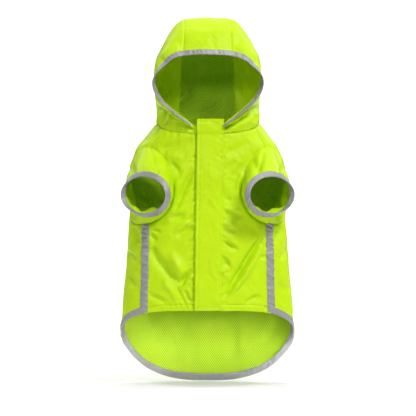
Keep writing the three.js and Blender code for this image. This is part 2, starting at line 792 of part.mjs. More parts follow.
add("hood_center", gussetWall(0, -shellWall, hoodRows.length, seamGap / 2), lime);
add("hood_lining", gussetWall(-liningDepth, -liningDepth - liningWall, liningEnd, liningInset), limeMesh);
add("hood_right", side, lime);
add("hood_left", mirrored(side), lime);
add("hood_binding", boundEdge(hoodTrimPlaces(), hoodTrimWidth, shellWall / 2, false), greyTape);
add("belly_right", fromManifold(toManifold(bellyRight).subtract(cutter)), lime);
add("belly_left", fromManifold(toManifold(bellyLeft).subtract(mirroredCutter)), lime);
add("back_panel", fromManifold(backPanel), lime);
add("back_lining", fromManifold(backLining), limeMesh);
add("sleeve_right", rightSleeve, lime);
add("sleeve_left", mirrored(rightSleeve), lime);
add("cuff_binding_right", rightCuffTrim, greyTape);
add("cuff_binding_left", mirrored(rightCuffTrim), greyTape);
add("flap", flap(), lime);
add("side_tape_right", rightTape, greyTape);
add("side_tape_left", mirrored(rightTape), greyTape);
add("hem_binding", boundEdge(hemTrimPlaces(), hemTrimWidth, shellWall / 2 + 0.6, false), greyTape);

export default group;
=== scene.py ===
# Dog raincoat, standing as if worn: a hood of three panels, belly and back panels, two short
# sleeves, a front flap, a mesh lining and grey reflective tape over its side seams and edges.

import math

import bpy
import numpy as np
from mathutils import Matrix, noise


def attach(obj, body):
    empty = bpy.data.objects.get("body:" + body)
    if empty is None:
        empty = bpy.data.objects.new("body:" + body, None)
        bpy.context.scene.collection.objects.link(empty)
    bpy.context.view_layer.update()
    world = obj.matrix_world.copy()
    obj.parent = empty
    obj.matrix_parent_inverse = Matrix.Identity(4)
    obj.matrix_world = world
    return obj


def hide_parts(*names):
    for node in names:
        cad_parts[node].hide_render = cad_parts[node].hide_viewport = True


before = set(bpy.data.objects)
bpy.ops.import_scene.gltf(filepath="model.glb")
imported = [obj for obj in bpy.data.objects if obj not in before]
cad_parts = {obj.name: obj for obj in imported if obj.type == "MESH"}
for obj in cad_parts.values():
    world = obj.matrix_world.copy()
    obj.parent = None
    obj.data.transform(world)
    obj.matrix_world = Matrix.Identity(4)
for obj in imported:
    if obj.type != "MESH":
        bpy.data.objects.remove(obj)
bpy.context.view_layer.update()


# Back panel.
# One piece of coated lime nylon from the neck to the rounded tail, wider than the belly, so that
# it wraps forward to the side seams. Cut on the straight grain and sewn to the belly panels.

# The coat's sizes are in millimetres, and turn into metres where a mesh is made. The body as worn
# has a half width and a depth to the front and to the back for each drop below the neck.
mm = 0.001
body_table = {
    "drop": [-10, 0, 7, 19, 32, 45, 60, 80, 110, 160, 210, 255, 300, 345, 425],
    "half": [80.5, 81, 83, 91.5, 101, 111.5, 119, 125, 127, 126, 129, 132.5, 136, 139.5, 140],
    "front": [45, 46, 46.5, 48, 49.5, 51, 52, 53, 54, 54, 54, 53, 52, 51, 50],
    "back": [45.5, 46, 47.5, 50.5, 53, 55, 57, 59, 60, 61, 60, 59, 57, 55, 53],
}
neck_table = {
    "angle": [0, 15, 33, 48, 65, 88, 120, 150, 180],
    "z": [-26, -25.5, -22.5, -18.5, -13, -7, -3, -0.8, 0],
}
hem_table = {
    "angle": [0, 30, 50, 70, 90, 105, 120, 135, 150, 165, 180],
    "z": [-307.5, -308.5, -314, -326, -344, -362, -381, -400, -414, -422, -424],
}
side_seam_table = {
    "drop": [0, 18, 47, 110, 166, 227, 304, 345],
    "x": [70, 77, 92, 98, 99, 99.5, 101.5, 102.5],
}
armhole_angle, armhole_spread, armhole_drop, armhole_half = 57, 34, 107, 60
armhole_lower_fullness = 0.8
body_axis_y = -44.8
squareness = 2.25
hem_trim_width = 11.5


def smooth_through(x, y, at, flat_ends=False, first_slope=None):
    """A smooth curve through the values y at places x; y may have several columns."""
    x, y = np.asarray(x, float), np.asarray(y, float)
    slope = np.empty_like(y)
    steps = (x[2:] - x[:-2]).reshape(-1, *[1] * (y.ndim - 1))
    slope[1:-1] = (y[2:] - y[:-2]) / steps
    slope[0] = 0 if flat_ends else (y[1] - y[0]) / (x[1] - x[0])
    slope[-1] = 0 if flat_ends else (y[-1] - y[-2]) / (x[-1] - x[-2])
    if first_slope is not None:
        slope[0] *= first_slope
    at = np.clip(at, x[0], x[-1])
    i = np.clip(np.searchsorted(x, at, side="right") - 1, 0, len(x) - 2)
    span = x[i + 1] - x[i]
    t = (at - x[i]) / span
    if y.ndim > 1:
        span, t = span[..., None], t[..., None]
    bend = t * (1 - t) ** 2 * slope[i] * span + t * t * (t - 1) * slope[i + 1] * span
    return y[i] + (y[i + 1] - y[i]) * t * t * (3 - 2 * t) + bend


def smooth_curve(table, along, column, at, flat_ends=False):
    return smooth_through(table[along], table[column], at, flat_ends)


def rounded(value):
    return np.sign(value) * np.abs(value) ** (2 / squareness)


def body_point(angle, z):
    """A point on the smooth body, angle degrees round from the middle of the front."""
    turn = np.radians(angle)
    drop = -np.asarray(z, float)
    front = smooth_curve(body_table, "drop", "front", drop)
    back = smooth_curve(body_table, "drop", "back", drop)
    depth = np.where(np.cos(turn) > 0, front, back)
    x = smooth_curve(body_table, "drop", "half", drop) * rounded(np.sin(turn))
    y = body_axis_y - depth * rounded(np.cos(turn))
    return np.stack(np.broadcast_arrays(x, y, z), axis=-1)


def unit(vectors):
    return vectors / np.maximum(np.linalg.norm(vectors, axis=-1, keepdims=True), 1e-9)


def body_normal(angle, z):
    across = body_point(angle + 0.5, z) - body_point(angle - 0.5, z)
    along = body_point(angle, z + 0.5) - body_point(angle, z - 0.5)
    return unit(np.cross(across, along))


def neck_height(angle):
    return smooth_curve(neck_table, "angle", "z", np.abs(angle), flat_ends=True)


def hem_height(angle):
    return smooth_curve(hem_table, "angle", "z", np.abs(angle), flat_ends=True)


def body_height(angle, share):
    top = neck_height(angle)
    return top + (hem_height(angle) - top) * share


def angle_at(x, z):
    half = smooth_curve(body_table, "drop", "half", -np.asarray(z, float))
    part = np.clip(np.abs(x) / half, 0, 1) ** (squareness / 2)
    return np.degrees(np.arcsin(part)) * np.sign(x)


def seam_angle(share):
    """The side seam's angle on the row at that share of the way from the neck to the hem."""
    angle = np.full_like(np.asarray(share, float), 52)
    for _ in range(8):
        z = body_height(angle, share)
        angle = angle_at(smooth_curve(side_seam_table, "drop", "x", -z), z)
    return angle


# Pressed folds, each a curve: x, z of its first end, of the place that it bends towards and of its
# last end, then its width, rise and one-sidedness
front_folds = [
    (-21, -82, -36, -108, -53, -152, 5.5, -4.5, 0.5),
    (-30, -80, -46, -112, -62, -140, 7, 2.5, 0),
    (-91, -206, -74, -238, -38, -266, 8, -3.1, 0.5),
    (-60, -214, -48, -236, -34, -252, 7, 2.5, 0),
    (-23, -242, -35, -250, -41, -268, 4, -2.6, 0.9),
    (-91, -176, -84, -180, -75, -181, 4, -1.8, 0.4),
    (-93, -183, -88, -190, -81, -195, 4, -2, 0.4),
    (-62, -160, -50, -155, -36, -156, 6, -2, 0.6),
    (-50, -190, -36, -178, -22, -172, 6, -2.2, 0.7),
    (-32, -166, -27, -160, -22, -155, 3.5, -1.6, 0.5),
    (-38, -274, -31, -284, -25, -296, 3, -1.6, 0.5),
    (-50, -270, -42, -284, -34, -298, 4, -1.4, 0.5),
    (-94, -281, -82, -286, -63, -294, 5, -1.8, 0.5),
    (-72, -262, -58, -272, -46, -290, 6, 1.6, 0.3),
    (90, -184, 60, -232, 24, -291, 5.5, -3.9, 0.6),
    (86, -214, 66, -240, 38, -282, 7, 1.3, 0.2),
    (72, -250, 54, -272, 34, -294, 5, -1.4, 0.5),
    (25, -150, 40, -156, 56, -156, 5.5, -2.4, 0.6),
    (22, -174, 32, -181, 46, -180, 4.5, -2.2, 0.7),
    (22, -196, 32, -200, 48, -210, 4.5, -2.4, 0.7),
    (24, -225, 30, -230, 37, -240, 4, -1.8, 0.5),
    (22, -120, 30, -126, 40, -134, 5, -1.6, 0.4),
    (60, -295, 72, -286, 86, -284, 5, -2, 0.5),
    (84, -200, 88, -204, 93, -204, 3.5, -1.4, 0.4),
    (80, -222, 86, -222, 93, -220, 3.5, -1.4, 0.4),
    (46, -112, 50, -100, 56, -88, 4.5, 2.4, 0.4),
    (40, -96, 47, -82, 58, -72, 6, -2, 0.5),
    (-78, -49, -50, -48, -24, -34, 8, -3.2, 0.6),
    (-60, -72, -49, -78, -43, -92, 4.5, -2.4, 0.6),
    (-66, -60, -50, -64, -38, -66, 7, 1.8, 0),
    (26, -56, 44, -52, 66, -40, 8, -1.8, 0.4),
    (28, -84, 36, -78, 44, -68, 6, -2.6, 0.6),
    (-48, -96, -47, -118, -48, -140, 4, 2, 0),
    (48, -96, 47, -118, 48, -142, 4, 2, 0),
    (-130, -213, -122, -218, -112, -228, 5, -2, 0.5),
    (-128, -250, -120, -262, -114, -270, 6, -1.8, 0.5),
    (116, -228, 122, -214, 130, -206, 6, -1.8, 0.5),
    (112, -262, 120, -272, 128, -276, 6, -1.6, 0.5),
    (-120, -170, -112, -186, -108, -204, 6, -2.2, 0.5),
    (118, -168, 112, -184, 110, -200, 6, -2.2, 0.5),
]
# Gathers beside the flap's two edges: height, reach, fall, depth
left_gathers = [
    (-46, 12, 2, 1.6), (-62, 16, -4, 2.2), (-71, 9, -3, 1.4), (-88, 13, -8, 2.0),
    (-103, 18, -14, 2.4), (-113, 9, -6, 1.5), (-131, 15, -9, 2.2), (-153, 12, -6, 1.8),
    (-162, 20, -15, 2.4), (-175, 10, -7, 1.6), (-192, 16, -10, 2.0), (-209, 12, -7, 1.6),
    (-222, 17, -12, 2.2), (-246, 10, -6, 1.8), (-262, 14, 6, 1.8), (-276, 11, 6, 1.5),
    (-292, 15, 4, 1.8),
]
right_gathers = [
    (-42, 11, 3, 1.5), (-58, 9, 1, 1.2), (-76, 13, 5, 1.6), (-94, 15, 7, 1.8), (-112, 10, -5, 1.4),
    (-126, 14, -8, 1.8), (-147, 17, -5, 2.0), (-160, 9, -4, 1.3), (-171, 20, -4, 2.2),
    (-188, 15, -8, 2.0), (-203, 12, -9, 1.6), (-219, 14, -12, 2.0), (-236, 12, 8, 1.5),
    (-252, 16, 12, 2.0), (-270, 12, 9, 1.6), (-284, 15, 8, 2.0), (-296, 10, 4, 1.4),
]
flap_top, flap_length = -3, 304
flap_sides = {"left": (-16.5, -20.8), "right": (25.6, 21.6)}


def flap_edge(side, z):
    """Where the flap's left or right edge lies at a height."""
    top, foot = flap_sides[side]
    return top + (top - foot) * (z - flap_top) / flap_length


for gathers, side, way in ((left_gathers, "left", -1), (right_gathers, "right", 1)):
    for z, reach, fall, depth in gathers:
        x = flap_edge(side, z) - way
        middle, far_end = (x + way * reach * 0.55, z + fall * 0.35), (x + way * reach, z + fall)
        front_folds.append((x - 4 * way, z, *middle, *far_end, 2.6, -0.45 * depth, 0.8))
# Seams of the shoulders, from the neck to the armholes
for way in (-1, 1):
    front_folds.append((way * 74, -12, way * 84, -30, way * 95, -52, 1.4, -1.0, 0))
back_folds = [
    (-60, -40, -20, -64, 34, -60, 14, -3.4, 0.4),
    (-100, -96, -58, -118, 4, -122, 15, -3, 0.5),
    (104, -80, 70, -128, 18, -152, 13, -3.6, 0.5),
    (-96, -206, -50, -190, -6, -214, 14, -3.2, 0.4),
    (88, -214, 46, -232, 24, -276, 13, -3.2, 0.5),
    (-70, -262, -52, -310, -58, -362, 12, -3, 0.4),
    (-12, -286, -6, -340, -14, -398, 12, -2.6, 0.3),
    (54, -306, 48, -350, 58, -392, 12, -3, 0.4),
    (-110, -284, -96, -320, -92, -352, 10, -2.4, 0.4),
    (112, -276, 100, -318, 94, -356, 10, -2.4, 0.4),
    (-36, -140, -20, -160, -16, -186, 9, 2.2, 0.2),
    (40, -88, 52, -104, 50, -128, 9, 2, 0.2),
]
fold_strength = 2.6


def fold_rise(table, across, up):
    """The rise of the pressed folds at places given by two coordinates."""
    rise = np.zeros(np.broadcast(across, up).shape)
    for x1, z1, x2, z2, x3, z3, width, height, one_sided in table:
        t = np.linspace(0, 1, 15)
        x = (1 - t) ** 2 * x1 + 2 * t * (1 - t) * x2 + t * t * x3
        z = (1 - t) ** 2 * z1 + 2 * t * (1 - t) * z2 + t * t * z3
        near = (across > x.min() - 3 * width) & (across < x.max() + 3 * width)
        near &= (up > z.min() - 3 * width) & (up < z.max() + 3 * width)
        if not near.any():
            continue
        px, pz = across[near], up[near]
        best = np.full(px.shape, 1e9)
        side = np.zeros(px.shape)
        share = np.zeros(px.shape)
        for i in range(len(t) - 1):
            dx, dz = x[i + 1] - x[i], z[i + 1] - z[i]
            length = math.hypot(dx, dz)
            along = np.clip(((px - x[i]) * dx + (pz - z[i]) * dz) / length ** 2, 0, 1)
            off_x, off_z = px - x[i] - along * dx, pz - z[i] - along * dz
            distance = np.hypot(off_x, off_z)
            closer = distance < best
            best = np.where(closer, distance, best)
            side = np.where(closer, (dx * off_z - dz * off_x) / length, side)
            share = np.where(closer, (i + along) / (len(t) - 1), share)
        fade = np.sin(np.pi * np.clip(share, 0.0, 1.0)) ** 0.6
        s = side / width
        hollow = np.exp(-(best / width) ** 2)
        roll = 1.4 * s * np.exp(-(best / (1.3 * width)) ** 2)
        rise[near] += fold_strength * height * fade * (hollow - one_sided * np.abs(roll) * (s > 0))
    return rise


def soft_noise(points, wave, seed):
    """Smooth unevenness from -1 to 1, the same for every piece that shares a place."""
    flat = points.reshape(-1, 3) / wave + seed
    found = np.fromiter((noise.noise(p) for p in flat), float, len(flat))
    return found.reshape(points.shape[:-1])


def worn_unevenness(points):
    """Low waves of thin cloth, drawn out along the bias, nearly the same left and right."""
    x, y, z = points[..., 0], points[..., 1], points[..., 2]
    bend = 14 * soft_noise(points, 70.0, 15.1)
    across_bias = np.abs(x) * 0.7 + z * 0.6 + 0.12 * x + bend
    bias = np.stack([across_bias, y, 0.24 * (z - np.abs(x))], axis=-1)
    broad = np.abs(soft_noise(bias, 24.0, 5.3))
    fine = np.abs(soft_noise(bias, 10.0, 8.7))
    return 1.5 * soft_noise(points, 52.0, 3.1) + 2.8 * (0.25 - broad) + 1.0 * (0.25 - fine)


def body_rise(points, normals):
    """How far the worn cloth of the body stands off its smooth form."""
    facing_front = np.clip(-normals[..., 1] * 2.5, 0, 1)
    facing_back = np.clip(normals[..., 1] * 2.5, 0, 1)
    rise = facing_front * fold_rise(front_folds, points[..., 0], points[..., 2])
    rise *= 0.45 + 0.55 * np.clip((-110 - points[..., 2]) / 60, 0, 1)
    rise *= flap_calm(points[..., 0], points[..., 1], points[..., 2])
    rise += facing_back * fold_rise(back_folds, points[..., 0], points[..., 2])
    return rise + worn_unevenness(points)


def armhole_reach(angle, z):
    """Under 1 inside the armhole, 1 on its seam; and the factor that brings a place onto it."""
    across = (np.abs(angle) - armhole_angle) / armhole_spread
    up = (z + armhole_drop) / armhole_half
    power = np.where(up < 0, 2 / armhole_lower_fullness, 2.0)
    reach = np.abs(across) ** power + np.abs(up) ** power
    return reach, np.maximum(reach, 1e-9) ** (-1 / power)


def seam_groove(distance, depth=0.7, width=1.3):
    """The dip where two cloths are sewn together."""
    return -depth * np.exp(-(distance / width) ** 2)


def seam_pucker(along, distance, pitch, height, reach, seed):
    """Small gathers square to a line of stitches."""
    wave = np.sin(2 * np.pi * along / pitch + 2.2 * np.sin(along / (pitch * 2.3) + seed))
    strength = 0.5 + 0.5 * np.sin(along / (pitch * 3.1) + 2 * seed)
    return height * wave * strength * np.exp(-distance / reach)


def edge_spaced(length, step):
    """Distances along a cloth that are close together at both of its edges."""
    fine = [0, 0.6, 1.2, 2.0, 3.2, 5.0]
    middle = np.linspace(fine[-1], length - fine[-1], max(int(length / step), 2))
    return np.concatenate([fine[:-1], middle, length - np.array(fine[-2::-1])])


def put_in_scene(name, data):
    thing = bpy.data.objects.new(name, data)
    bpy.context.scene.collection.objects.link(thing)
    return thing


def smooth_mesh(name, places, faces):
    mesh = bpy.data.meshes.new(name)
    mesh.from_pydata(places, [], faces)
    mesh.polygons.foreach_set("use_smooth", [True] * len(mesh.polygons))
    mesh.update()
    return mesh


def piece_from_grid(name, points, cut, keep=None, wall=0, middle=None):
    """An object from a grid of points in millimetres, with the flat cut as its UV map."""
    rows, columns = points.shape[:2]
    i, j = np.meshgrid(np.arange(rows - 1), np.arange(columns - 1), indexing="ij")
    first = i * columns + j
    corners = np.stack([first, first + 1, first + columns + 1, first + columns], axis=-1)
    corners = corners.reshape(-1, 4)
    if keep is not None:
        corners = corners[keep.reshape(-1)[corners].all(axis=1)]
    used = np.unique(corners)
    renumber = np.full(rows * columns, -1)
    renumber[used] = np.arange(len(used))
    places = points.reshape(-1, 3)[used] * mm
    faces = renumber[corners]
    a, b, d = places[faces[:, 0]], places[faces[:, 1]], places[faces[:, 3]]
    away = a - (np.array([0, body_axis_y + 2, 0]) if middle is None else np.asarray(middle)) * mm
    if middle is None:
        away[:, 2] = 0
    if (np.cross(b - a, d - a) * away).sum() < 0:
        faces = faces[:, ::-1]
        corners = corners[:, ::-1]
    mesh = smooth_mesh(name, places.tolist(), faces.tolist())
    layer = mesh.uv_layers.new(name="cut")
    flat_cut = cut.reshape(-1, 2)[corners].reshape(-1, 2) * mm
    layer.data.foreach_set("uv", flat_cut.astype(np.float32).ravel())
    piece = put_in_scene(name, mesh)
    if wall:
        thicken = piece.modifiers.new("cloth_wall", "SOLIDIFY")
        thicken.thickness = wall * mm
        thicken.offset = -1
    return piece


def run_along(points, axis=0):
    """Distances along a line or a grid of points, from 0 at its first place."""
    steps = np.linalg.norm(np.diff(points, axis=axis), axis=-1)
    return np.insert(np.cumsum(steps, axis=axis), 0, 0, axis=axis)


def flat_cut_of(points):
    """Flat coordinates of a grid, from its lengths along rows and columns."""
    u, v = run_along(points, axis=1), run_along(points)
    u -= u[:, u.shape[1] // 2][:, None]
    return np.stack([u, -v], axis=-1)


def grid_area(points):
    """The area of a grid of points, in square metres."""
    a = points[1:, :-1] - points[:-1, :-1]
    b = points[:-1, 1:] - points[:-1, :-1]
    return float(np.linalg.norm(np.cross(a, b), axis=-1).sum()) * mm * mm


def sew_on(piece, node, material):
    """Finishes a piece: its material, its body, the CAD node that it stands for."""
    piece.data.materials.append(material)
    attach(piece, "root")
    if node:
        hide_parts(node)


def declare_cloth(points, area=None):
    """Works out how large the piece was cut, from its widest row and longest column, and keeps none
    of it.
    """
    widths = np.linalg.norm(np.diff(points, axis=1), axis=-1).sum(axis=1)
    lengths = np.linalg.norm(np.diff(points, axis=0), axis=-1).sum(axis=0)
    width, length = float(widths.max()) * mm, float(lengths.max()) * mm
    area = grid_area(points) if area is None else area
    area = min(max(area, 0.31 * width * length), width * length)


def shader_group(name, inputs, outputs):
    group = bpy.data.node_groups.new(name, "ShaderNodeTree")
    for label, kind, value in inputs:
        socket = group.interface.new_socket(label, in_out="INPUT", socket_type=kind)
        socket.default_value = value
    for label, kind in outputs:
        group.interface.new_socket(label, in_out="OUTPUT", socket_type=kind)
    return group, group.nodes.new("NodeGroupInput"), group.nodes.new("NodeGroupOutput")


def fed_node(tree, kind, inputs, **settings):
    """A node with its settings, and each input given a number, a colour or a link."""
    node = tree.nodes.new(kind)
    for name, value in settings.items():
        setattr(node, name, value)
    for label, value in inputs.items():
        if isinstance(value, (int, float)):
            node.inputs[label].default_value = value
        elif isinstance(value, tuple):
            node.inputs[label].default_value = (*value, 1)
        else:
            tree.links.new(value, node.inputs[label])
    return node


def math_node(tree, operation, *values):
    return fed_node(tree, "ShaderNodeMath", dict(enumerate(values)), operation=operation).outputs[0]


# Plain weave: threads cross over and under, as height and as a slight change of shade
weave, weave_in, weave_out = shader_group(
    "plain_weave",
    [("Pitch", "NodeSocketFloat", 0.0006), ("Turn", "NodeSocketFloat", 0.0)],
    [("Height", "NodeSocketFloat"), ("Shade", "NodeSocketFloat")],
)
weave_uv = fed_node(weave, "ShaderNodeUVMap", {}, uv_map="cut")
weave_turned = {"Vector": weave_uv.outputs[0], "Angle": weave_in.outputs["Turn"]}
weave_turn = fed_node(weave, "ShaderNodeVectorRotate", weave_turned, rotation_type="Z_AXIS")
weave_split = fed_node(weave, "ShaderNodeSeparateXYZ", {0: weave_turn.outputs[0]})
weave_waves = []
for axis in (0, 1):
    turns = math_node(weave, "DIVIDE", weave_split.outputs[axis], weave_in.outputs["Pitch"])
    weave_waves.append(math_node(weave, "SINE", math_node(weave, "MULTIPLY", turns, math.pi)))
weave_crossing = math_node(weave, "MULTIPLY", weave_waves[0], weave_waves[1])
weave.links.new(math_node(weave, "ABSOLUTE", weave_crossing), weave_out.inputs["Height"])
weave_shade = math_node(weave, "MULTIPLY_ADD", weave_crossing, 0.5, 0.5)
weave.links.new(weave_shade, weave_out.inputs["Shade"])

# Crumple: small creases left in thin coated cloth by folding and wear
crumple, crumple_in, crumple_out = shader_group(
    "thin_cloth_crumple",
    [("Size", "NodeSocketFloat", 0.02), ("Sharpness", "NodeSocketFloat", 0.5)],
    [("Height", "NodeSocketFloat"), ("Shade", "NodeSocketFloat")],
)
crumple_place = crumple.nodes.new("ShaderNodeTexCoord")
crumple_scale = math_node(crumple, "DIVIDE", 1.0, crumple_in.outputs["Size"])
crumple_broad = fed_node(crumple, "ShaderNodeTexNoise", {
    "Vector": crumple_place.outputs["Object"], "Scale": crumple_scale,
    "Detail": 3, "Distortion": 0.6,
})
crumple_from_half = math_node(crumple, "SUBTRACT", crumple_broad.outputs["Fac"], 0.5)
crumple_ridge = math_node(crumple, "ABSOLUTE", crumple_from_half)
crumple_sharp = math_node(crumple, "MULTIPLY", crumple_ridge, crumple_in.outputs["Sharpness"])
crumple_height = math_node(crumple, "ADD", crumple_broad.outputs["Fac"], crumple_sharp)
crumple.links.new(crumple_height, crumple_out.inputs["Height"])
crumple.links.new(crumple_broad.outputs["Fac"], crumple_out.inputs["Shade"])


def group_node(tree, group, **values):
    return fed_node(tree, "ShaderNodeGroup", values, node_tree=group)


def mix_colour(tree, factor, first, second):
    inputs = {0: factor, 6: first, 7: second}
    return fed_node(tree, "ShaderNodeMix", inputs, data_type="RGBA").outputs[2]


def raised(tree, height, distance, strength, below=None):
    """A normal from a height, on top of the normal of a coarser one below it."""
    inputs = {"Height": height, "Distance": distance, "Strength": strength}
    if below is not None:
        inputs["Normal"] = below
    return fed_node(tree, "ShaderNodeBump", inputs).outputs[0]


def new_material(name, roughness, specular=0.5, metallic=0.0):
    material = bpy.data.materials.new(name)
    material.use_nodes = True
    shader = material.node_tree.nodes["Principled BSDF"]
    shader.inputs["Roughness"].default_value = roughness
    shader.inputs["Specular IOR Level"].default_value = specular
    shader.inputs["Metallic"].default_value = metallic
    return material, material.node_tree, shader


# Coated lime nylon: bright and slightly glossy, with a fine plain weave
lime = (0.505, 0.755, 0.002)
lime_pale = (0.55, 0.79, 0.005)
nylon, nylon_tree, nylon_shader = new_material("lime_coated_nylon", 0.42, specular=0.18)
nylon_shader.inputs["Sheen Weight"].default_value = 0.03
nylon_weave = group_node(nylon_tree, weave, Pitch=0.00055)
nylon_crumple = group_node(nylon_tree, crumple, Size=0.022, Sharpness=0.8)
nylon_colour = mix_colour(nylon_tree, nylon_crumple.outputs["Shade"], lime, lime_pale)
nylon_tree.links.new(nylon_colour, nylon_shader.inputs["Base Color"])
nylon_bump = raised(nylon_tree, nylon_crumple.outputs["Height"], 0.0022, 0.55)
nylon_bump = raised(nylon_tree, nylon_weave.outputs["Height"], 0.00006, 0.5, nylon_bump)
nylon_tree.links.new(nylon_bump, nylon_shader.inputs["Normal"])


def let_light_through(tree, shader, bump, colour, share):
    """Thin cloth passes a share of the light on to its other side, in its own colour."""
    through = fed_node(tree, "ShaderNodeBsdfTranslucent", {"Color": colour, "Normal": bump})
    shares = {0: share, 1: shader.outputs[0], 2: through.outputs[0]}
    both = fed_node(tree, "ShaderNodeMixShader", shares)
    tree.links.new(both.outputs[0], tree.nodes["Material Output"].inputs["Surface"])


let_light_through(nylon_tree, nylon_shader, nylon_bump, (0.5, 0.72, 0.0), 0.05)


def degrees_per_mm(angle, z):
    step = body_point(angle + 0.5, z) - body_point(angle - 0.5, z)
    return 1 / np.linalg.norm(step, axis=-1)


def cut_armhole(angle, z):
    """Which places stay, and places next to the armhole moved onto its seam."""
    reach, onto = armhole_reach(angle, z)
    keep = reach >= 1
    cell = keep[:-1, :-1] & keep[1:, :-1] & keep[:-1, 1:] & keep[1:, 1:]
    touched = np.zeros_like(keep)
    for rows in (slice(None, -1), slice(1, None)):
        for columns in (slice(None, -1), slice(1, None)):
            touched[rows, columns] |= ~cell
    edge = keep & touched & (reach < 2.0)
    side = np.where(angle < 0, -1, 1)
    across = (np.abs(angle) - armhole_angle) * onto + armhole_angle
    new_angle = np.where(edge, side * across, angle)
    new_z = np.where(edge, (z + armhole_drop) * onto - armhole_drop, z)
    return new_angle, new_z, keep


armhole_dip, underarm_tuck = 0.5, 7.0


def low_on_sleeve(z):
    """0 above the sleeve's middle, 1 where its underside folds against the body."""
    return np.clip((-96 - z) / 30, 0, 1)


def share_of(angle, z):
    return (neck_height(angle) - z) / (neck_height(angle) - hem_height(angle))


def flap_calm(x, y, z):
    """How much of the folds the flap and the cloth under it take up: the flap keeps flat."""
    inside = np.minimum(x - flap_edge("left", z), flap_edge("right", z) - x)
    calm = np.clip((inside + 5) / 9, 0, 1)
    return 1 - 0.8 * calm * calm * (3 - 2 * calm) * (y < body_axis_y)


hem_stitch_line = 9.3
neck_seam_dip = (1.1, 1.6)


def body_extra(angle, z):
    """The dips and gathers along the body's seams and hems."""
    smooth = body_point(angle, z)
    x = smooth[..., 0]
    side = np.abs(np.abs(angle) - seam_angle(share_of(angle, z))) / degrees_per_mm(angle, z)
    neck = np.maximum(neck_height(angle) - z, 0)
    reach, _ = armhole_reach(angle, z)
    arm = np.maximum(np.sqrt(reach) - 1, 0) * armhole_half * 0.85
    hem = np.maximum(z - hem_height(angle), 0)
    front = np.abs(angle) < seam_angle(share_of(angle, z))
    extra = seam_groove(side) + seam_groove(neck, *neck_seam_dip)
    extra += seam_groove(arm, armhole_dip, 1.8)
    extra += low_on_sleeve(z) * seam_groove(arm, underarm_tuck, 3.5)
    extra += seam_pucker(x, neck, 12, 0.5, 10, 1.3)
    extra += seam_pucker(z + 0.4 * x, side, 9, 0.4, 7, 2.7)
    stitched = hem - hem_stitch_line
    extra += np.where(front, seam_groove(stitched, 1.5, 1.3), 0)
    extra += np.where(front, seam_pucker(x + 0.5 * z, np.abs(stitched), 9, 0.8, 8, 4.1), 0)
    above_tape = np.maximum(hem - hem_trim_width, 0)
    extra += np.where(front, 0, seam_pucker(x + z, above_tape, 11, 0.6, 9, 5.2))
    left = flap_edge("left", z) - x
    right = x - flap_edge("right", z)
    on_front = smooth[..., 1] < body_axis_y
    gathered = seam_pucker(z - 0.7 * x, np.maximum(left, 0), 17, 0.6, 9, 0.6)
    extra += np.where(on_front & (left > -6), gathered, 0)
    extra += np.where(on_front, seam_groove(left - 0.8, 2.2, 2.4), 0)
    gathered = seam_pucker(z + 0.5 * x, np.maximum(right, 0), 15, 0.5, 8, 3.9)
    extra += np.where(on_front & (right > -6), gathered, 0)
    extra += np.where(on_front, seam_groove(right - 0.5, 0.6, 1.2), 0)
    return extra


def worn_body(angle, z, lift=0.0, detail=1.0):
    """Points of the body's cloth as worn, moved out by lift."""
    smooth = body_point(angle, z)
    normal = body_normal(angle, z)
    out = body_rise(smooth, normal) + detail * body_extra(angle, z) + lift
    return smooth + normal * out[..., None]


def wrapped(angle):
    return np.where(angle > 180, angle - 360, angle)


back_length, back_width = 370.0, 470.0
# The share of a panel's cut that its armholes leave
left_by_armholes = 0.93


def back_grid(step):
    """Angles and heights over the back panel, from the right side seam round to the left."""
    shares = (edge_spaced(back_length, step) / back_length)[:, None]
    seam = seam_angle(shares)
    spaced = (edge_spaced(back_width, step) / back_width)[None, :]
    angle = wrapped(seam + (360 - 2 * seam) * spaced)
    length = neck_height(angle) - hem_height(angle)
    shares = shares * (1 - (hem_trim_width - 1) / length)
    return angle, body_height(angle, shares)


back_angle, back_z = back_grid(step=3.0)
back_cut = flat_cut_of(body_point(back_angle, back_z))
cut_angle, cut_z, back_keep = cut_armhole(back_angle, back_z)
back_points = worn_body(cut_angle, cut_z)
back_panel = piece_from_grid("back_panel_cloth", back_points, back_cut, keep=back_keep)
sew_on(back_panel, "back_panel", nylon)
declare_cloth(back_points, area=left_by_armholes * grid_area(back_points))


# Back lining.
# A lime knitted mesh the size of the back panel, laid against its inside and caught in the same
# seams. It is open work: thin diagonal ribs with small holes between them.

mesh_group, mesh_in, mesh_out = shader_group(
    "diamond_mesh",
    [("Pitch", "NodeSocketFloat", 0.0038)],
    [("Height", "NodeSocketFloat"), ("Rib", "NodeSocketFloat")],
)
mesh_uv = fed_node(mesh_group, "ShaderNodeUVMap", {}, uv_map="cut")
mesh_split = fed_node(mesh_group, "ShaderNodeSeparateXYZ", {0: mesh_uv.outputs[0]})
mesh_slants = []
for operation, stretch in (("ADD", 0.75), ("SUBTRACT", 0.75)):
    tall = math_node(mesh_group, "MULTIPLY", mesh_split.outputs[1], stretch)
    slant = math_node(mesh_group, operation, mesh_split.outputs[0], tall)
    turns = math_node(mesh_group, "DIVIDE", slant, mesh_in.outputs["Pitch"])
    wave = math_node(mesh_group, "SINE", math_node(mesh_group, "MULTIPLY", turns, math.pi))
    mesh_slants.append(math_node(mesh_group, "ABSOLUTE", wave))
mesh_open = math_node(mesh_group, "MINIMUM", mesh_slants[0], mesh_slants[1])
mesh_round = math_node(mesh_group, "SUBTRACT", 1.0, mesh_open)
mesh_group.links.new(mesh_round, mesh_out.inputs["Height"])
mesh_group.links.new(math_node(mesh_group, "POWER", mesh_round, 1.5), mesh_out.inputs["Rib"])

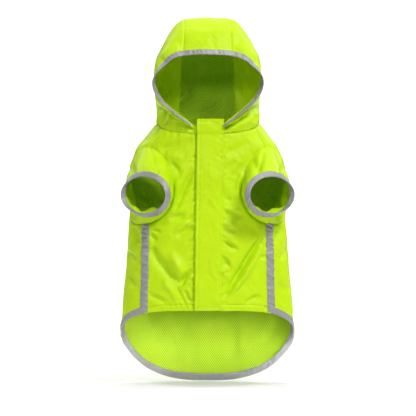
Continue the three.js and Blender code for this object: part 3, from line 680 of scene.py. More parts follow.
knit, knit_tree, knit_shader = new_material("lime_knitted_mesh", 0.8, specular=0.15)
knit_lattice = group_node(knit_tree, mesh_group)
# The ribs are the knit's own pale yarn, made brighter still as painted light for the shaded inside
# of the coat; the holes are painted dark green as painted shade on the cloth seen through them
knit_rib_with_painted_light = (0.80, 0.97, 0.08)
knit_hole_painted_shade = (0.22, 0.47, 0.001)
knit_lattice_with_painted_shade = mix_colour(knit_tree, knit_lattice.outputs["Rib"], knit_hole_painted_shade, knit_rib_with_painted_light)
knit_tree.links.new(knit_lattice_with_painted_shade, knit_shader.inputs["Base Color"])
knit_bump = raised(knit_tree, knit_lattice.outputs["Height"], 0.0004, 0.6)
knit_tree.links.new(knit_bump, knit_shader.inputs["Normal"])
let_light_through(knit_tree, knit_shader, knit_bump, (0.62, 0.8, 0.04), 0.35)

lining_points = worn_body(cut_angle, cut_z, lift=-1.7)
# Soft folds of the slack mesh, standing inward
lining_folds = [
    (-48, -318, -52, -350, -34, -398, 7, 2.2, 0), (-24, -336, -6, -352, -14, -392, 6, 2.0, 0),
    (-86, -330, -78, -352, -60, -376, 7, 1.8, 0), (20, -322, 8, -352, 22, -398, 7, 1.9, 0),
    (54, -326, 48, -350, 62, -388, 6, 2.2, 0), (92, -326, 84, -340, 88, -362, 7, 1.8, 0),
    (-112, -96, -88, -116, -70, -150, 8, 4.5, 0), (108, -94, 92, -120, 66, -142, 8, 4.5, 0),
    (-116, -128, -104, -136, -84, -168, 6, 3, 0), (114, -124, 104, -140, 82, -164, 6, 3, 0),
]
slack_in = fold_rise(lining_folds, lining_points[..., 0], lining_points[..., 2])
slack_in = slack_in * np.clip((lining_points[..., 1] + 30) / 20, 0, 1)
lining_points = lining_points + body_normal(cut_angle, cut_z) * (
    0.5 * soft_noise(lining_points, 30.0, 20.5) - 0.5 - np.abs(slack_in)
)[..., None]
back_lining = piece_from_grid("back_lining_mesh", lining_points, back_cut, keep=back_keep)
sew_on(back_lining, "back_lining", knit)
lining_area = left_by_armholes * grid_area(lining_points)
declare_cloth(lining_points, area=lining_area)


# Belly panels.
# Two mirrored pieces of the same lime nylon, from the neck to a straight front hem that is turned
# up and stitched. They are sewn to the back panel down the sides and close under the flap.

belly_length, belly_width = 310.0, 106.0
# Heights above the hem of the extra rows that the dent of its stitches needs
stitch_line_rows = np.array([7.2, 8.4, 9.3, 10.2, 11.4])


def belly_grid(side, step):
    rows = np.append(edge_spaced(belly_length, step), belly_length - stitch_line_rows)
    shares = (np.sort(rows) / belly_length)[:, None]
    spaced = edge_spaced(belly_width, step)[None, :] / belly_width
    angle = side * seam_angle(shares) * spaced
    return angle, body_height(angle, shares)


for name, side in (("belly_right", 1), ("belly_left", -1)):
    angle, z = belly_grid(side, step=2.0)
    cut = flat_cut_of(body_point(angle, z))
    angle, z, keep = cut_armhole(angle, z)
    points = worn_body(angle, z)
    belly = piece_from_grid(name + "_cloth", points, cut, keep=keep)
    sew_on(belly, name, nylon)
    declare_cloth(points, area=left_by_armholes * grid_area(points))


# Turned hem of the belly.
# The last ten millimetres of each belly panel, folded to the inside and stitched down, which
# makes the front edge thicker and firmer than the rest of the cloth.

hem_turn_width, hem_turn_columns = 10.4, 60
hem_turn = hem_turn_width * np.linspace(0, 1, 5)[:, None]
for name, side in (("belly_right", 1), ("belly_left", -1)):
    seam = seam_angle(np.ones((1, hem_turn_columns)))
    angle = side * seam * np.linspace(0, 1, hem_turn_columns)[None, :]
    z = hem_height(angle) + hem_turn
    points = worn_body(np.broadcast_to(angle, z.shape), z, lift=-0.75)
    turned = piece_from_grid("belly_turned_hem", points, flat_cut_of(points), wall=0.4)
    sew_on(turned, None, nylon)
    declare_cloth(points)


# Front flap.
# A folded strip of lime nylon, 42 mm wide, that covers the closure. It is stitched to the right
# belly panel along its right edge; the left edge is free and stands a little off the coat.

flap_width = 42
flap_stitch_left, flap_stitch_right = 4.8, 4.5
flap_stitch_top, flap_stitch_foot = -7.5, -302.5
flap_across = edge_spaced(flap_width, 1.5)


def flap_points():
    foot = [-301, -302.5, -304, -306, -307.3]
    heights = np.concatenate([[-3.0, -3.5, -4.5], np.linspace(-6, -299, 150), foot])
    z = heights[:, None]
    left, right = flap_edge("left", z), flap_edge("right", z)
    spaced = (flap_across / flap_width)[None, :]
    x = left + (right - left) * spaced
    z = np.broadcast_to(z, x.shape)
    angle = angle_at(x, z)
    above = np.clip((z - neck_height(0)) / (flap_top - neck_height(0)), 0, 1)
    uneven = np.sin(heights / 23.0) * np.sin(heights / 9.0)
    free_edge = (1 - spaced) ** 4 * (2.6 + 0.9 * uneven[:, None])
    crown = 1.0 * np.sin(np.pi * spaced) ** 0.7
    rim = -0.35 * np.exp(-(np.minimum(spaced, 1 - spaced) * flap_width / 0.8) ** 2)
    from_right_stitches = (1 - spaced) * flap_width - flap_stitch_right
    from_left_stitches = spaced * flap_width - flap_stitch_left
    stitched = seam_groove(from_right_stitches, 1.1, 1.0)
    stitched = stitched + seam_groove(from_left_stitches, 0.8, 1.0)
    stitched = stitched + seam_groove(flap_stitch_top - z, 0.9, 1.1)
    stitched = stitched + seam_groove(z - flap_stitch_foot, 1.1, 1.2)
    wave = seam_pucker(z + 0.5 * x, np.abs(from_right_stitches), 11, 0.45, 6, 7.7)
    wave = wave + seam_pucker(z - 0.4 * x, np.abs(from_left_stitches), 13, 0.3, 6, 2.1)
    lift = 1.5 + free_edge + crown + rim + stitched + wave + 5.5 * above ** 0.5
    return worn_body(angle, z, lift=lift, detail=0.0)


flap_front = flap_points()
flap = piece_from_grid("front_flap_cloth", flap_front, flat_cut_of(flap_front), wall=1.1)
sew_on(flap, "flap", nylon)
declare_cloth(flap_front)


# Side tapes.
# Grey reflective tape 12.7 mm wide, a plain weave with a silvery coat, stitched over each side
# seam from under the sleeve to the hem. It shrinks less than the cloth, so it crinkles.

tape_pitch = 0.0009
tape_base = (0.30, 0.295, 0.295)
# Colours of the painted shade and painted highlight on the tape's crinkles
tape_painted_shade, tape_painted_highlight = (0.24, 0.235, 0.237), (0.37, 0.365, 0.362)
tape, tape_tree, tape_shader = new_material(
    "grey_reflective_tape", 0.42, specular=0.5, metallic=0.12)
tape_weave = group_node(tape_tree, weave, Pitch=tape_pitch, Turn=0.6)
tape_crumple = group_node(tape_tree, crumple, Size=0.012, Sharpness=0.6)
# The crumple mixes them, so the tape is painted darker and lighter where it crinkles: painted shade
# and painted highlight
tape_crinkle_painted_light = mix_colour(tape_tree, tape_crumple.outputs["Shade"], tape_painted_shade, tape_painted_highlight)
tape_colour = mix_colour(tape_tree, tape_weave.outputs["Shade"], tape_crinkle_painted_light, tape_base)
tape_tree.links.new(tape_colour, tape_shader.inputs["Base Color"])
tape_bump = raised(tape_tree, tape_crumple.outputs["Height"], 0.0008, 0.4)
tape_bump = raised(tape_tree, tape_weave.outputs["Height"], 0.0001, 0.6, tape_bump)
tape_tree.links.new(tape_bump, tape_shader.inputs["Normal"])

# Crinkles across the tape: height, slant, rise
tape_crinkles = [
    (-150, 0.4, 0.8), (-158, -0.3, 1.0), (-167, 0.5, 1.5), (-175, 0.35, 1.3), (-182, -0.2, 1.0),
    (-189, 0.5, 1.7), (-197, 0.3, 1.1), (-203, 0.45, 1.6), (-214, -0.25, 1.0), (-221, 0.4, 1.5),
    (-233, 0.5, 1.2), (-240, -0.35, 0.9), (-249, 0.45, 1.4), (-262, 0.35, 1.0), (-270, -0.3, 1.1),
    (-281, 0.5, 1.3), (-292, 0.3, 0.9), (-300, 0.4, 0.8),
]
tape_half_width = 6.35
tape_rows = np.linspace(0.492, 0.996, 150)[:, None]
for name, side in (("side_tape_right", 1), ("side_tape_left", -1)):
    seam = seam_angle(tape_rows)
    seam_z = body_height(seam, tape_rows)
    spaced = np.array([-1, -0.94, -0.8, -0.55, -0.25, 0, 0.25, 0.55, 0.8, 0.94, 1])[None, :]
    angle = side * (seam + spaced * tape_half_width * degrees_per_mm(seam, seam_z))
    z = body_height(angle, tape_rows)
    along = seam_z + 5.5 * spaced * side
    crinkle = 0.35 * np.sin(along / 2.0 + 1.8 * np.sin(along / 9.3 + side))
    for height, slant, rise in tape_crinkles:
        off = seam_z + 2.5 * side - height + side * slant * tape_half_width * spaced
        crinkle = crinkle + 1.9 * rise * np.exp(-(off / 2.2) ** 2)
    edge_down = -0.35 * np.abs(spaced) ** 6
    lift = 0.75 + crinkle * (1 - 0.4 * spaced ** 2) + edge_down
    points = worn_body(angle, z, lift=lift, detail=0.25)
    strip = piece_from_grid(name + "_strip", points, flat_cut_of(points), wall=0.35)
    sew_on(strip, name, tape)
    declare_cloth(points)


# Hem binding.
# The same grey tape, folded over the back panel's edge and stitched through, from one side seam
# round the tail to the other. It is about 11 mm wide and thicker than the cloth.

def square_to(direction, vectors):
    """The vectors without their part along a direction."""
    return unit(vectors - direction * (vectors * direction).sum(axis=-1, keepdims=True))


def bound_edge(name, node, edge, forward, normal, width, sink, thick, crinkle, seed,
               slope=0.0, taper=1.0, joined=False):
    """A strip folded over an edge: its outer face, a rounded front and its inner face."""
    face = np.array([0.0, 0.05, 0.2, 0.4, 0.6, 0.8, 0.92])
    ahead = np.concatenate([face * width, [width - 0.15, width, width - 0.15], face[::-1] * width])
    half = thick / 2
    up = half * np.array([0.1] + [1] * 6 + [0.7, 0, -0.7] + [-1] * 6 + [-0.1])
    run = run_along(edge)[:, None]
    inner = (up < 0)[None, :]
    slant = run + np.where(inner, 1.2, 0.5) * ahead[None, :]
    strength = 0.35 + 0.65 * np.sin(slant / 13 + seed) ** 2
    wave = np.sin(slant / 1.3 + 2 * np.sin(slant / 7 + seed)) * strength
    ease = np.sin(np.pi * np.clip(ahead / width, 0, 1) ** 0.8)[None, :]
    rough = np.where(inner, 1.0, 0.6) * crinkle * wave * ease
    stitch = -0.25 * np.exp(-((ahead - 1.6) / 0.7) ** 2)[None, :] * np.sign(up)[None, :]
    sloped = np.where(inner, slope * (1 - ahead / width)[None, :], 0) * np.ones_like(run)
    rise = up[None, :] + rough + stitch - sink - sloped
    from_front = (width - ahead)[None, :] * taper
    edge = edge + forward * width
    points = edge[:, None, :] - forward[:, None, :] * from_front[..., None]
    points = points + normal[:, None, :] * rise[..., None]
    around = np.concatenate([[0], np.cumsum(np.hypot(np.diff(ahead), np.diff(up)))])
    if joined:
        points = np.concatenate([points, points[:1]])
        run = np.concatenate([run, run[-1:] + 2])
    cut = np.stack(np.broadcast_arrays(run, around[None, :]), axis=-1)
    strip = piece_from_grid(name, points, cut, middle=points[:, :8].mean(axis=(0, 1)))
    sew_on(strip, node, tape)
    declare_cloth(points)


hem_angles = wrapped(np.linspace(0, 1, 420) * (360 - 2 * seam_angle(1.0)) + seam_angle(1.0))
hem_long = neck_height(hem_angles) - hem_height(hem_angles)
hem_edge_z = body_height(hem_angles, 1 - hem_trim_width / hem_long)
hem_edge = worn_body(hem_angles, hem_edge_z, lift=-0.3)
hem_front = worn_body(hem_angles, hem_height(hem_angles), lift=-0.3)
hem_forward = unit(hem_front - hem_edge)
hem_normal = square_to(hem_forward, body_normal(hem_angles, hem_edge_z))
bound_edge("hem_binding_tape", "hem_binding", hem_edge, hem_forward, hem_normal, hem_trim_width,
           sink=0.3, thick=2.8, crinkle=0.8, seed=2.0, slope=4.5)


# Sleeves.
# Each is one short, wide piece of lime nylon, set into the armhole with a seam allowance that is
# pushed inward. The top is eased so that it stands round; the underside folds against the body.

cuff_tilt = math.radians(25)
cuff_cloth_end = {"x": 98, "y": -73, "z": -123.6, "across": 40.5, "up": 34.5, "draw_in": 5.0}
sleeve_fullness = 2.5
# Folds that run from the armhole to the cuff: turn, bend, width, rise
sleeve_folds = [
    (0.55, 0.5, 0.16, -4.5), (1.15, -0.3, 0.2, -2.5), (1.75, 0.35, 0.14, -3.5),
    (2.4, -0.4, 0.15, -4.5), (2.95, 0.3, 0.16, -3.5), (5.7, 0.4, 0.2, -4.5),
    (3.6, -0.3, 0.22, -3.0),
]


def armhole_place(turn):
    across, up = np.cos(turn), np.sin(turn)
    power = np.where(up < 0, armhole_lower_fullness, 1.0)
    angle = armhole_angle + armhole_spread * np.sign(across) * np.abs(across) ** power
    z = -armhole_drop + armhole_half * np.sign(up) * np.abs(up) ** power
    return angle, z


def cuff_ring(ring, turn):
    drawn = ring["draw_in"] * np.clip(np.cos(turn + 0.6), 0, 1) ** 0.8
    across = (ring["across"] - drawn) * np.cos(turn)
    x = ring["x"] + across * math.cos(cuff_tilt)
    y = body_axis_y + ring["y"] + across * math.sin(cuff_tilt)
    return np.stack([x, y, ring["z"] + (ring["up"] - drawn) * np.sin(turn)], axis=-1)


def sleeve_smooth(turn, share):
    start = body_point(*armhole_place(turn))
    end = cuff_ring(cuff_cloth_end, turn)
    beside = body_point(*armhole_place(turn + 0.01)) - body_point(*armhole_place(turn - 0.01))
    outward = unit(np.cross(end - start, beside))
    upper = (1 + np.cos(turn - math.pi / 4)) / 2
    fullness = sleeve_fullness * upper * 4 * share * (1 - share)
    return start + (end - start) * share[..., None] - outward * fullness[..., None]


def sleeve_worn(side, turn, share):
    """The sleeve as worn: it leaves the armhole seam with the body's own rise."""
    smooth = sleeve_smooth(turn, share)
    beside = sleeve_smooth(turn + 0.02, share) - sleeve_smooth(turn - 0.02, share)
    along = sleeve_smooth(turn, np.minimum(share + 0.01, 1))
    along = along - sleeve_smooth(turn, np.maximum(share - 0.01, 0))
    normal = unit(np.cross(along, beside))
    middle = np.array([cuff_cloth_end["x"], 0, cuff_cloth_end["z"]])
    away = smooth - middle
    away[..., 1] = 0
    normal = normal * np.where((normal * away).sum(axis=-1) < 0, -1, 1)[..., None]
    angle, z = armhole_place(turn)
    place = body_point(angle, z)
    mirror = np.array([side, 1, 1])
    start_normal = body_normal(angle, z)
    under = low_on_sleeve(z)
    start_rise = body_rise(place * mirror, start_normal * mirror)
    start_rise = start_rise - armhole_dip - underarm_tuck * under
    from_seam = share * np.linalg.norm(cuff_ring(cuff_cloth_end, turn) - place, axis=-1)
    wave = seam_pucker(turn * 45, from_seam, 11, 0.7, 9, 3.3 + side)
    place = np.stack([turn * 26 + 5 * side, from_seam * 0.5, 0 * turn], axis=-1)
    folds = 1.4 * soft_noise(place, 14.0, 40.0 + side)
    for at, bend, width, height in sleeve_folds:
        off = np.angle(np.exp(1j * (turn - at - bend * share)))
        folds = folds + height * np.exp(-((off / width) ** 2))
    folds = folds * np.sin(np.pi * np.clip(share, 0, 1)) ** 0.7
    out = start_normal * (start_rise * (1 - share) ** 3)[..., None]
    swell = (0.2 + 4.0 * under) * (1 - np.exp(-from_seam / 3.0)) * (1 - share)
    tuck = -15 * np.clip(-np.sin(turn), 0, 1) ** 1.6 * np.sin(np.pi * share ** 1.7)
    tuck = tuck * (1 + 0.25 * np.sin(5 * turn + side))
    roll = 3.0 * np.clip(-np.sin(turn - 0.5), 0, 1) ** 2 * np.exp(-((share - 0.12) / 0.1) ** 2)
    out = out + normal * (wave * (share > 0) + folds + swell + tuck + roll)[..., None]
    return (smooth + out) * mirror


sleeve_turns = np.linspace(0, 2 * math.pi, 145)[None, :]
sleeve_shares = np.concatenate([[0, 0.02, 0.05, 0.09], np.linspace(0.14, 1, 26)])[:, None]
turn_grid, share_grid = np.broadcast_arrays(sleeve_turns, sleeve_shares)
for name, side in (("sleeve_right", 1), ("sleeve_left", -1)):
    points = sleeve_worn(side, turn_grid, share_grid)
    points[:, -1] = points[:, 0]
    middle = points.mean(axis=(0, 1))
    sleeve = piece_from_grid(name + "_cloth", points, flat_cut_of(points), middle=middle)
    sew_on(sleeve, name, nylon)
    declare_cloth(points)


# Cuff bindings.
# Grey reflective tape folded over the end of each sleeve and stitched, in a ring about 9 mm wide.
# The real tape's ends overlap low on the outer side; here each ring is closed.

cuff_front_edge = {"x": 103, "y": -79, "z": -124.3, "across": 39.7, "up": 27.5, "draw_in": 0}
cuff_turns = np.linspace(0, 2 * math.pi, 241)[:-1]
cuff_edge = cuff_ring(cuff_cloth_end, cuff_turns)
cuff_forward = unit(cuff_ring(cuff_front_edge, cuff_turns) - cuff_edge)
cuff_ahead, cuff_behind = (cuff_ring(cuff_cloth_end, cuff_turns + step) for step in (0.05, -0.05))
cuff_normal = unit(np.cross(cuff_forward, cuff_ahead - cuff_behind))
for name, side in (("cuff_binding_right", 1), ("cuff_binding_left", -1)):
    mirror = np.array([side, 1, 1])
    bound_edge(name + "_tape", name, (cuff_edge - cuff_forward) * mirror, cuff_forward * mirror,
               cuff_normal * mirror, 9.0, sink=0.25, thick=1.8, crinkle=1.1, seed=3.0 + side,
               slope=3.0, joined=True)


# Hood sides.
# Two mirrored pieces of lime nylon, each from the centre strip's seam down to the neck seam. The
# front edge is bound, and below it the cloth rolls outward and folds down to the neck.

nape_angle = 147.0
# Places across each side at stations from the front to the nape: s on the strip's seam, t at the
# temple, c at the cheek, j at the jaw, and the foot's angle round the neck
hood_table = {
    "station": [0, 1, 2, 3, 4, 5, 6],
    "foot": [2.5, 40, 75, 100, 120, 135, nape_angle],
    "sx": [39, 37, 38, 40, 43, 45],
    "sy": [-58, -42, 0, 40, 62, 61],
    "sz": [104.5, 140, 160, 142, 97, 48],
    "tx": [71, 64, 64, 61, 56, 51],
    "ty": [-57.5, -42, -4, 36, 57, 57.5],
    "tz": [87, 119, 131, 113, 77, 37],
    "cx": [84.5, 83, 84, 76, 66, 56],
    "cy": [-56, -40, -6, 30, 50, 53],
    "cz": [57.5, 82, 88, 78, 55, 26],
    "jx": [68, 81, 84, 81, 72, 60],
    "jy": [-54, -38, -8, 22, 40, 47],
    "jz": [27, 33, 40, 38, 27, 13],
}
# Where those places lie, as shares of the way from the strip's seam to the neck
hood_knots = [0, 0.23, 0.46, 0.7, 1]


def neck_point(angle):
    return body_point(angle, neck_height(angle))


nape_point = neck_point(np.array(nape_angle)) - [0, body_axis_y, 0]
for letter in "stcj":
    for axis, value in zip("xyz", nape_point):
        hood_table[letter + axis].append(float(value))


def hood_point(share, station):
    """Places on the right half of the hood, rows by station and columns by share."""
    station = np.atleast_1d(np.asarray(station, float))
    knots = []
    for letter in "stcj":
        x, y, z = (smooth_curve(hood_table, "station", letter + axis, station) for axis in "xyz")
        knots.append(np.stack([x, body_axis_y + y, z], axis=-1))
    foot = np.clip(smooth_curve(hood_table, "station", "foot", station), 0, 180)
    knots.append(neck_point(foot))
    knots = np.stack(knots)
    share = np.atleast_1d(np.asarray(share, float))
    flatter = np.tile([1.12, 0.75, 0.38], len(station))
    found = smooth_through(hood_knots, knots.reshape(5, -1), share, first_slope=flatter)
    return found.reshape(len(share), len(station), 3).transpose(1, 0, 2)


hood_middle = np.array([0, body_axis_y, 60.0])


def outward_normal(across, along, points):
    normal = unit(np.cross(across, along))
    away = ((points - hood_middle) * normal).sum(axis=-1, keepdims=True)
    return normal * np.where(away < 0, -1, 1)


def hood_normal(share, station):
    share, station = np.clip(share, 0.01, 0.985), np.clip(station, 0.02, 5.9)
    across = hood_point(share + 0.01, station) - hood_point(share - 0.01, station)
    along = hood_point(share, station + 0.02) - hood_point(share, station - 0.02)
    return outward_normal(across, along, hood_point(share, station))


# Pressed folds of the hood, outside below its rim and inside it, as in the body's tables
hood_front_folds = [
    (-93, 32, -76, 8, -44, -8, 5.5, -3.6, 0.6),
    (-62, 10, -44, -8, -22, -14, 4, 2.2, 0.2),
    (-52, 0, -38, -12, -20, -22, 3.5, -2.4, 0.6),
    (-80, 20, -72, 4, -66, -10, 6, -2.2, 0.3),
    (-46, -14, -34, -16, -24, -24, 3.5, 1.6, 0.2),
    (93, 30, 77, 7, 50, -7, 5.5, -3.4, 0.6),
    (70, 16, 50, -6, 28, -12, 4.5, 2.4, 0.2),
    (62, 4, 44, -12, 26, -20, 4, -2.6, 0.6),
    (84, 20, 78, 6, 72, -8, 6, -2.0, 0.3),
    (40, -10, 34, -16, 27, -20, 3, -1.6, 0.5),
    (-70, 92, -60, 104, -44, 112, 9, 1.6, 0.2),
    (72, 88, 64, 104, 48, 114, 9, 1.4, 0.2),
]
hood_inner_folds = [
    (-46, 22, -30, 34, -6, 38, 5, 3.0, 0.4),
    (-46, 30, -34, 36, -24, 52, 4, -2.2, 0.4),
    (-20, 6, 4, 8, 24, 30, 5, -2.4, 0.5),
    (-8, 22, 8, 24, 20, 38, 6, 2.0, 0.3),
    (30, 6, 38, 22, 42, 40, 5, 1.6, 0.3),
    (-56, 40, -60, 62, -58, 84, 6, 1.4, 0.3),
    (58, 36, 62, 60, 60, 84, 6, -1.4, 0.3),
    (-22, 86, 0, 96, 26, 88, 9, -1.2, 0.2),
    (-30, 128, 4, 138, 34, 126, 12, -1.4, 0.3),
]


def hood_rise(points, normals):
    front = np.clip(-normals[..., 1] * 3 + 0.35, 0, 1)
    back = np.clip(normals[..., 1] * 3, 0, 1)
    rise = front * fold_rise(hood_front_folds, points[..., 0], points[..., 2])
    rise += back * fold_rise(hood_inner_folds, points[..., 0], points[..., 2])
    return rise + worn_unevenness(points)


strip_seam_dip, strip_seam_gathers = (0.8, 1.4), (12, 0.45, 7, 2.2)


def hood_side_worn(side, share, station):
    mirror = np.array([side, 1, 1])
    smooth = hood_point(share, station) * mirror
    normal = hood_normal(share, station) * mirror
    run = run_along(smooth, axis=1)
    to_neck = run[:, -1:] - run
    rise = hood_rise(smooth, normal)
    rise += seam_groove(run, *strip_seam_dip) + seam_groove(to_neck, *neck_seam_dip)
    rise += seam_pucker(smooth[..., 1] + smooth[..., 2], run, *strip_seam_gathers)
    rise += seam_pucker(smooth[..., 0] + smooth[..., 1], to_neck, 12, 0.6, 9, 1.3)
    return smooth + normal * rise[..., None]


hood_side_length = 175.0
hood_shares = edge_spaced(hood_side_length, 2.2) / hood_side_length
hood_stations = np.concatenate([[0, 0.02, 0.05], np.linspace(0.09, 5.94, 126)])
for name, side in (("hood_right", 1), ("hood_left", -1)):
    points = hood_side_worn(side, hood_shares, hood_stations)
    panel = piece_from_grid(name + "_cloth", points, flat_cut_of(points), middle=hood_middle)
    sew_on(panel, name, nylon)
    declare_cloth(points)


# Hood centre strip.
# One long piece of lime nylon, about 80 mm wide, over the head from the front edge back to the
# nape. A seam joins each long edge to a hood side.

gusset_crown, gusset_width = 3.0, 80.0


def gusset_smooth(across, station):
    """Places on the centre strip: rows by station, across from -1 to 1 between its seams."""
    seam = hood_point([0.0], station)
    ahead = hood_point([0.0], station + 0.05) - hood_point([0.0], station - 0.05)
    up = unit(np.stack([0 * ahead[..., 0], -ahead[..., 2], ahead[..., 1]], axis=-1))
    across = np.asarray(across)[None, :]
    point = seam * np.stack([across, np.ones_like(across), np.ones_like(across)], axis=-1)
    crown = gusset_crown + 2.5 * np.clip(1 - station, 0, 1)[:, None]
    point = point + up * (crown * (1 - across * across))[..., None]
    settle = np.clip(station[:, None] - 5, 0, 1)
    settle = (settle * settle * (3 - 2 * settle) * (1 - across ** 4))[..., None]
    on_neck = neck_point(180 - (180 - nape_angle) * np.abs(across)) * [0, 1, 1] + point * [1, 0, 0]
    return point + (on_neck - point) * settle


def gusset_worn(across, station, lift=0.0):
    smooth = gusset_smooth(across, station)
    inside, along = np.clip(across, -0.98, 0.98), np.clip(station, 0.02, 5.95)
    wide = gusset_smooth(inside + 0.02, along) - gusset_smooth(inside - 0.02, along)
    long = gusset_smooth(inside, along + 0.02) - gusset_smooth(inside, along - 0.02)
    normal = outward_normal(wide, long, smooth)
    at_seam = np.clip(np.abs(across) * 6 - 5, 0, 1)[None, :, None]
    side_normal = hood_normal([0.0], along) * np.ones((1, len(across), 1))
    ones = np.ones(len(across))
    side_normal = side_normal * np.stack([np.sign(across), ones, ones], axis=-1)
    normal = unit(normal * (1 - at_seam) + side_normal * at_seam)
    to_seam = (1 - np.abs(across))[None, :] * (gusset_width / 2)
    rise = hood_rise(smooth, normal)
    rise += seam_groove(to_seam, *strip_seam_dip)
    rise += seam_pucker(smooth[..., 1] + smooth[..., 2], to_seam, *strip_seam_gathers)
    return smooth + normal * (rise + lift)[..., None], normal


gusset_across = edge_spaced(gusset_width, 2.0) / (gusset_width / 2) - 1
gusset_stations = np.concatenate([[0, 0.02, 0.05], np.linspace(0.09, 6.0, 130)])
gusset_points, _ = gusset_worn(gusset_across, gusset_stations)
gusset_cut = flat_cut_of(gusset_points)
gusset = piece_from_grid("hood_centre_cloth", gusset_points, gusset_cut, middle=hood_middle)
sew_on(gusset, "hood_center", nylon)
declare_cloth(gusset_points)


# Hood lining.
# The lime knitted mesh again, under the centre strip only and caught in its two seams. It hangs a
# little slack, so that soft folds show inside the hood.

slack_stations = np.clip(gusset_stations, 0, 5.9)
slack_points, slack_normals = gusset_worn(gusset_across * 0.985, slack_stations, lift=-1.0)
slack_fall = np.sin(np.pi * (gusset_across * 0.5 + 0.5))[None, :] ** 0.6
slack = slack_fall * (0.9 + 0.9 * soft_noise(slack_points, 24.0, 61.0))
slack_points = slack_points - slack_normals * slack[..., None]
slack_cut = flat_cut_of(slack_points)
hood_lining = piece_from_grid("hood_lining_mesh", slack_points, slack_cut, middle=hood_middle)
sew_on(hood_lining, "hood_lining", knit)
declare_cloth(slack_points)


# Hood binding.
# Grey reflective tape folded over the hood's front edge, 9 mm wide, with its ends low on each
# side. Over the head its outer face shows; at the jaw it rolls out and shows its inner face.

trim_lean = {"share": [0, 0.23, 0.46, 0.7, 0.93], "lean": [-72, -48, 25, 50, 35]}
rim_shares = np.linspace(0.915, 0.0, 136)[:-1]
rim_top_places, rim_smoothed = 61, 7
rim_right = hood_side_worn(1, rim_shares[::-1], [0.0])[0][::-1]
rim_left = hood_side_worn(-1, rim_shares[::-1], [0.0])[0]
rim_top = gusset_worn(np.linspace(1, -1, rim_top_places), np.array([0.0]))[0][0]
rim_edge = np.concatenate([rim_right, rim_top, rim_left])
rim_share = np.concatenate([rim_shares, np.zeros(rim_top_places), rim_shares[::-1]])
smoothing = np.hanning(2 * rim_smoothed + 1)
smoothing = smoothing / smoothing.sum()
rim_ends = ((rim_smoothed, rim_smoothed), (0, 0))
rim_padded = np.pad(rim_edge, rim_ends, mode="reflect", reflect_type="odd")
rim_edge = np.stack([np.convolve(rim_padded[:, k], smoothing, "valid") for k in range(3)], axis=-1)
rim_tangent = unit(np.gradient(rim_edge, axis=0))
rim_out = unit(np.stack([rim_tangent[:, 2], 0 * rim_tangent[:, 0], -rim_tangent[:, 0]], axis=-1))
rim_away = (rim_edge - hood_middle) * [1, 0, 1]
rim_out = rim_out * np.where((rim_out * rim_away).sum(axis=-1) < 0, -1, 1)[:, None]
lean = np.radians(smooth_curve(trim_lean, "share", "lean", rim_share))[:, None]
rim_forward = np.array([0, -1.0, 0]) * np.cos(lean) + rim_out * np.sin(lean)
rim_forward = square_to(rim_tangent, rim_forward)
rim_normal = unit(np.cross(rim_tangent, rim_forward))
rim_taper = 1 - 0.6 * np.clip((rim_share - 0.5) / 0.4, 0, 1)[:, None]
bound_edge("hood_binding_tape", "hood_binding", rim_edge - rim_forward * 0.8, rim_forward,
           rim_normal, 8.8, sink=0.25, thick=1.8, crinkle=1.0, seed=6.0, taper=rim_taper)


# Stitches.
# Two rows of lockstitch, about nine to the inch, in thread of the cloth's own colour. They hold
# the flap's folded edges down along its left and right sides.

lime_thread, _, lime_thread_shader = new_material("lime_thread", 0.45, specular=0.4)
lime_thread_shader.inputs["Base Color"].default_value = (0.60, 0.83, 0.03, 1)
stitch_pitch, stitch_long, thread_round = 2.9, 2.0, 0.26


def stitch_row(name, points, normals):
    """Small rounded thread stretches that follow a line of points."""
    run = run_along(points)
    at = np.arange(stitch_pitch / 2, run[-1] - stitch_pitch / 4, stitch_pitch)

    def between(values, places):
        return np.stack([np.interp(places, run, values[:, k]) for k in range(3)], axis=-1)

    centre = between(points, at)
    tangent = unit(between(points, at + 0.6) - between(points, at - 0.6))
    up = unit(between(normals, at))
    beside = unit(np.cross(up, tangent))
    up = np.cross(tangent, beside)
    ring = 2 * np.pi * np.arange(6) / 6
    places = []
    for along, thick in ((-1, 0.15), (-0.8, 0.75), (-0.3, 1), (0.3, 1), (0.8, 0.75), (1, 0.15)):
        sag = thread_round * 0.5 - 0.5 * thread_round * abs(along) ** 3
        for turn in ring:
            wide, tall = (thick * thread_round * part(turn) for part in (math.cos, math.sin))
            places.append([along * stitch_long / 2, wide, sag + tall])
    places = np.array(places)
    verts = centre[:, None] + tangent[:, None] * places[None, :, 0:1]
    verts = verts + beside[:, None] * places[None, :, 1:2] + up[:, None] * places[None, :, 2:3]
    faces = []
    for i in range(5):
        for j in range(6):
            k = (j + 1) % 6
            faces.append([i * 6 + j, i * 6 + k, (i + 1) * 6 + k, (i + 1) * 6 + j])
    faces = np.array(faces)[None] + 36 * np.arange(len(at))[:, None, None]
    mesh = smooth_mesh(name, (verts.reshape(-1, 3) * mm).tolist(), faces.reshape(-1, 4).tolist())
    sew_on(put_in_scene(name, mesh), None, lime_thread)


flap_inward = unit(np.cross(np.gradient(flap_front, axis=1), np.gradient(flap_front, axis=0)))
for label, across in (("right", flap_width - flap_stitch_right), ("left", flap_stitch_left)):
    column = int(np.argmin(np.abs(flap_across - across)))
    line, up = flap_front[4:-6, column], -flap_inward[4:-6, column]
    stitch_row("flap_stitches_" + label, line, up)


# Floor.
# A plain pale studio floor that curves up far behind the coat. Its sizes, and those of the lights
# and the camera, are in metres.

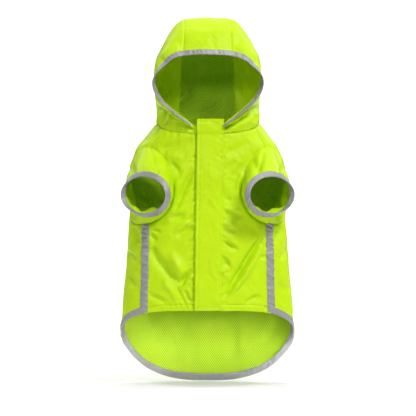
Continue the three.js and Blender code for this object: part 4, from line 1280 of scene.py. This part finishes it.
floor_height, floor_front, floor_back, floor_top, floor_half_width = -0.4255, -0.95, 3.0, 6.0, 1.6
floor_bend_radius = 1.5
floor_profile = [(floor_front, floor_height)]
for turn in np.linspace(0, math.pi / 2, 13):
    rise = floor_bend_radius * (1 - math.cos(turn))
    floor_profile.append((floor_back + floor_bend_radius * math.sin(turn), floor_height + rise))
floor_profile.append((floor_back + floor_bend_radius, floor_top))
floor_places = [(x, y, z) for y, z in floor_profile for x in (-floor_half_width, floor_half_width)]
floor_faces = [(2 * i, 2 * i + 1, 2 * i + 3, 2 * i + 2) for i in range(len(floor_profile) - 1)]
floor_mesh = smooth_mesh("studio_floor", floor_places, floor_faces)
floor = put_in_scene("studio_floor", floor_mesh)
floor_material, _, floor_shader = new_material("pale_studio_floor", 0.9, specular=0.0)
floor_shader.inputs["Base Color"].default_value = (0.88, 0.88, 0.88, 1)
floor_mesh.materials.append(floor_material)


# Light.
# An even white surround, a soft main light high on the right, a weaker one in front, lights for
# the floor and the backdrop, and a faint one that reaches in under the front hem.

world = bpy.data.worlds.new("white_surround")
bpy.context.scene.world = world
world.use_nodes = True
world.node_tree.nodes["Background"].inputs["Color"].default_value = (1, 1, 1, 1)
world.node_tree.nodes["Background"].inputs["Strength"].default_value = 0.15


def soft_light(name, place, aim, size, power):
    lamp = bpy.data.lights.new(name, "AREA")
    lamp.shape = "DISK"
    lamp.size = size
    lamp.energy = power
    holder = put_in_scene(name, lamp)
    holder.location = place
    away = np.array(place) - np.array(aim)
    yaw = math.atan2(away[0], -away[1])
    pitch = math.atan2(math.hypot(away[0], away[1]), away[2])
    holder.rotation_euler = (pitch, 0, yaw)


coat_middle = (0, -0.06, -0.14)
soft_light("soft_light_above", (1.25, -1.95, 1.95), coat_middle, 0.8, 65)
soft_light("soft_light_front", (-0.5, -3.3, 1.35), coat_middle, 0.7, 27)
soft_light("soft_light_top", (0, 0.35, 2.9), (0, 0.3, -0.42), 3.0, 40)
soft_light("backdrop_light_left", (-2.2, 1.3, 1.8), (-0.5, 4.2, 0.2), 1.2, 130)
soft_light("backdrop_light_right", (2.2, 1.3, 1.8), (0.5, 4.2, 0.2), 1.2, 130)

# The faint one is a narrow strip, low in front
low_lamp = bpy.data.lights.new("low_strip_light", "AREA")
low_lamp.shape = "RECTANGLE"
low_lamp.size, low_lamp.size_y = 0.34, 0.015
low_lamp.spread = math.radians(6)
low_lamp.energy = 0.1
low_light_rise, low_light_turn = 0.032, 0.345
low_holder = put_in_scene("low_strip_light", low_lamp)
low_holder.location = (0.42, -1.15, -0.41)
low_holder.rotation_euler = (math.pi / 2 + low_light_rise, 0, low_light_turn)


# Camera.
# A long lens level with the middle of the coat, looking straight at its front.

sensor_width, coat_distance, picture_width = 36, 4.5, 0.6656
camera_data = bpy.data.cameras.new("front_camera")
camera = put_in_scene("front_camera", camera_data)
bpy.context.scene.camera = camera
camera.location = (0.0005, -4.56, -0.144)
camera.rotation_euler = (math.pi / 2, 0, 0)
camera_data.sensor_width = sensor_width
camera_data.lens = sensor_width * coat_distance / picture_width
camera_data.clip_end = 50
bpy.context.scene.view_settings.view_transform = "Standard"
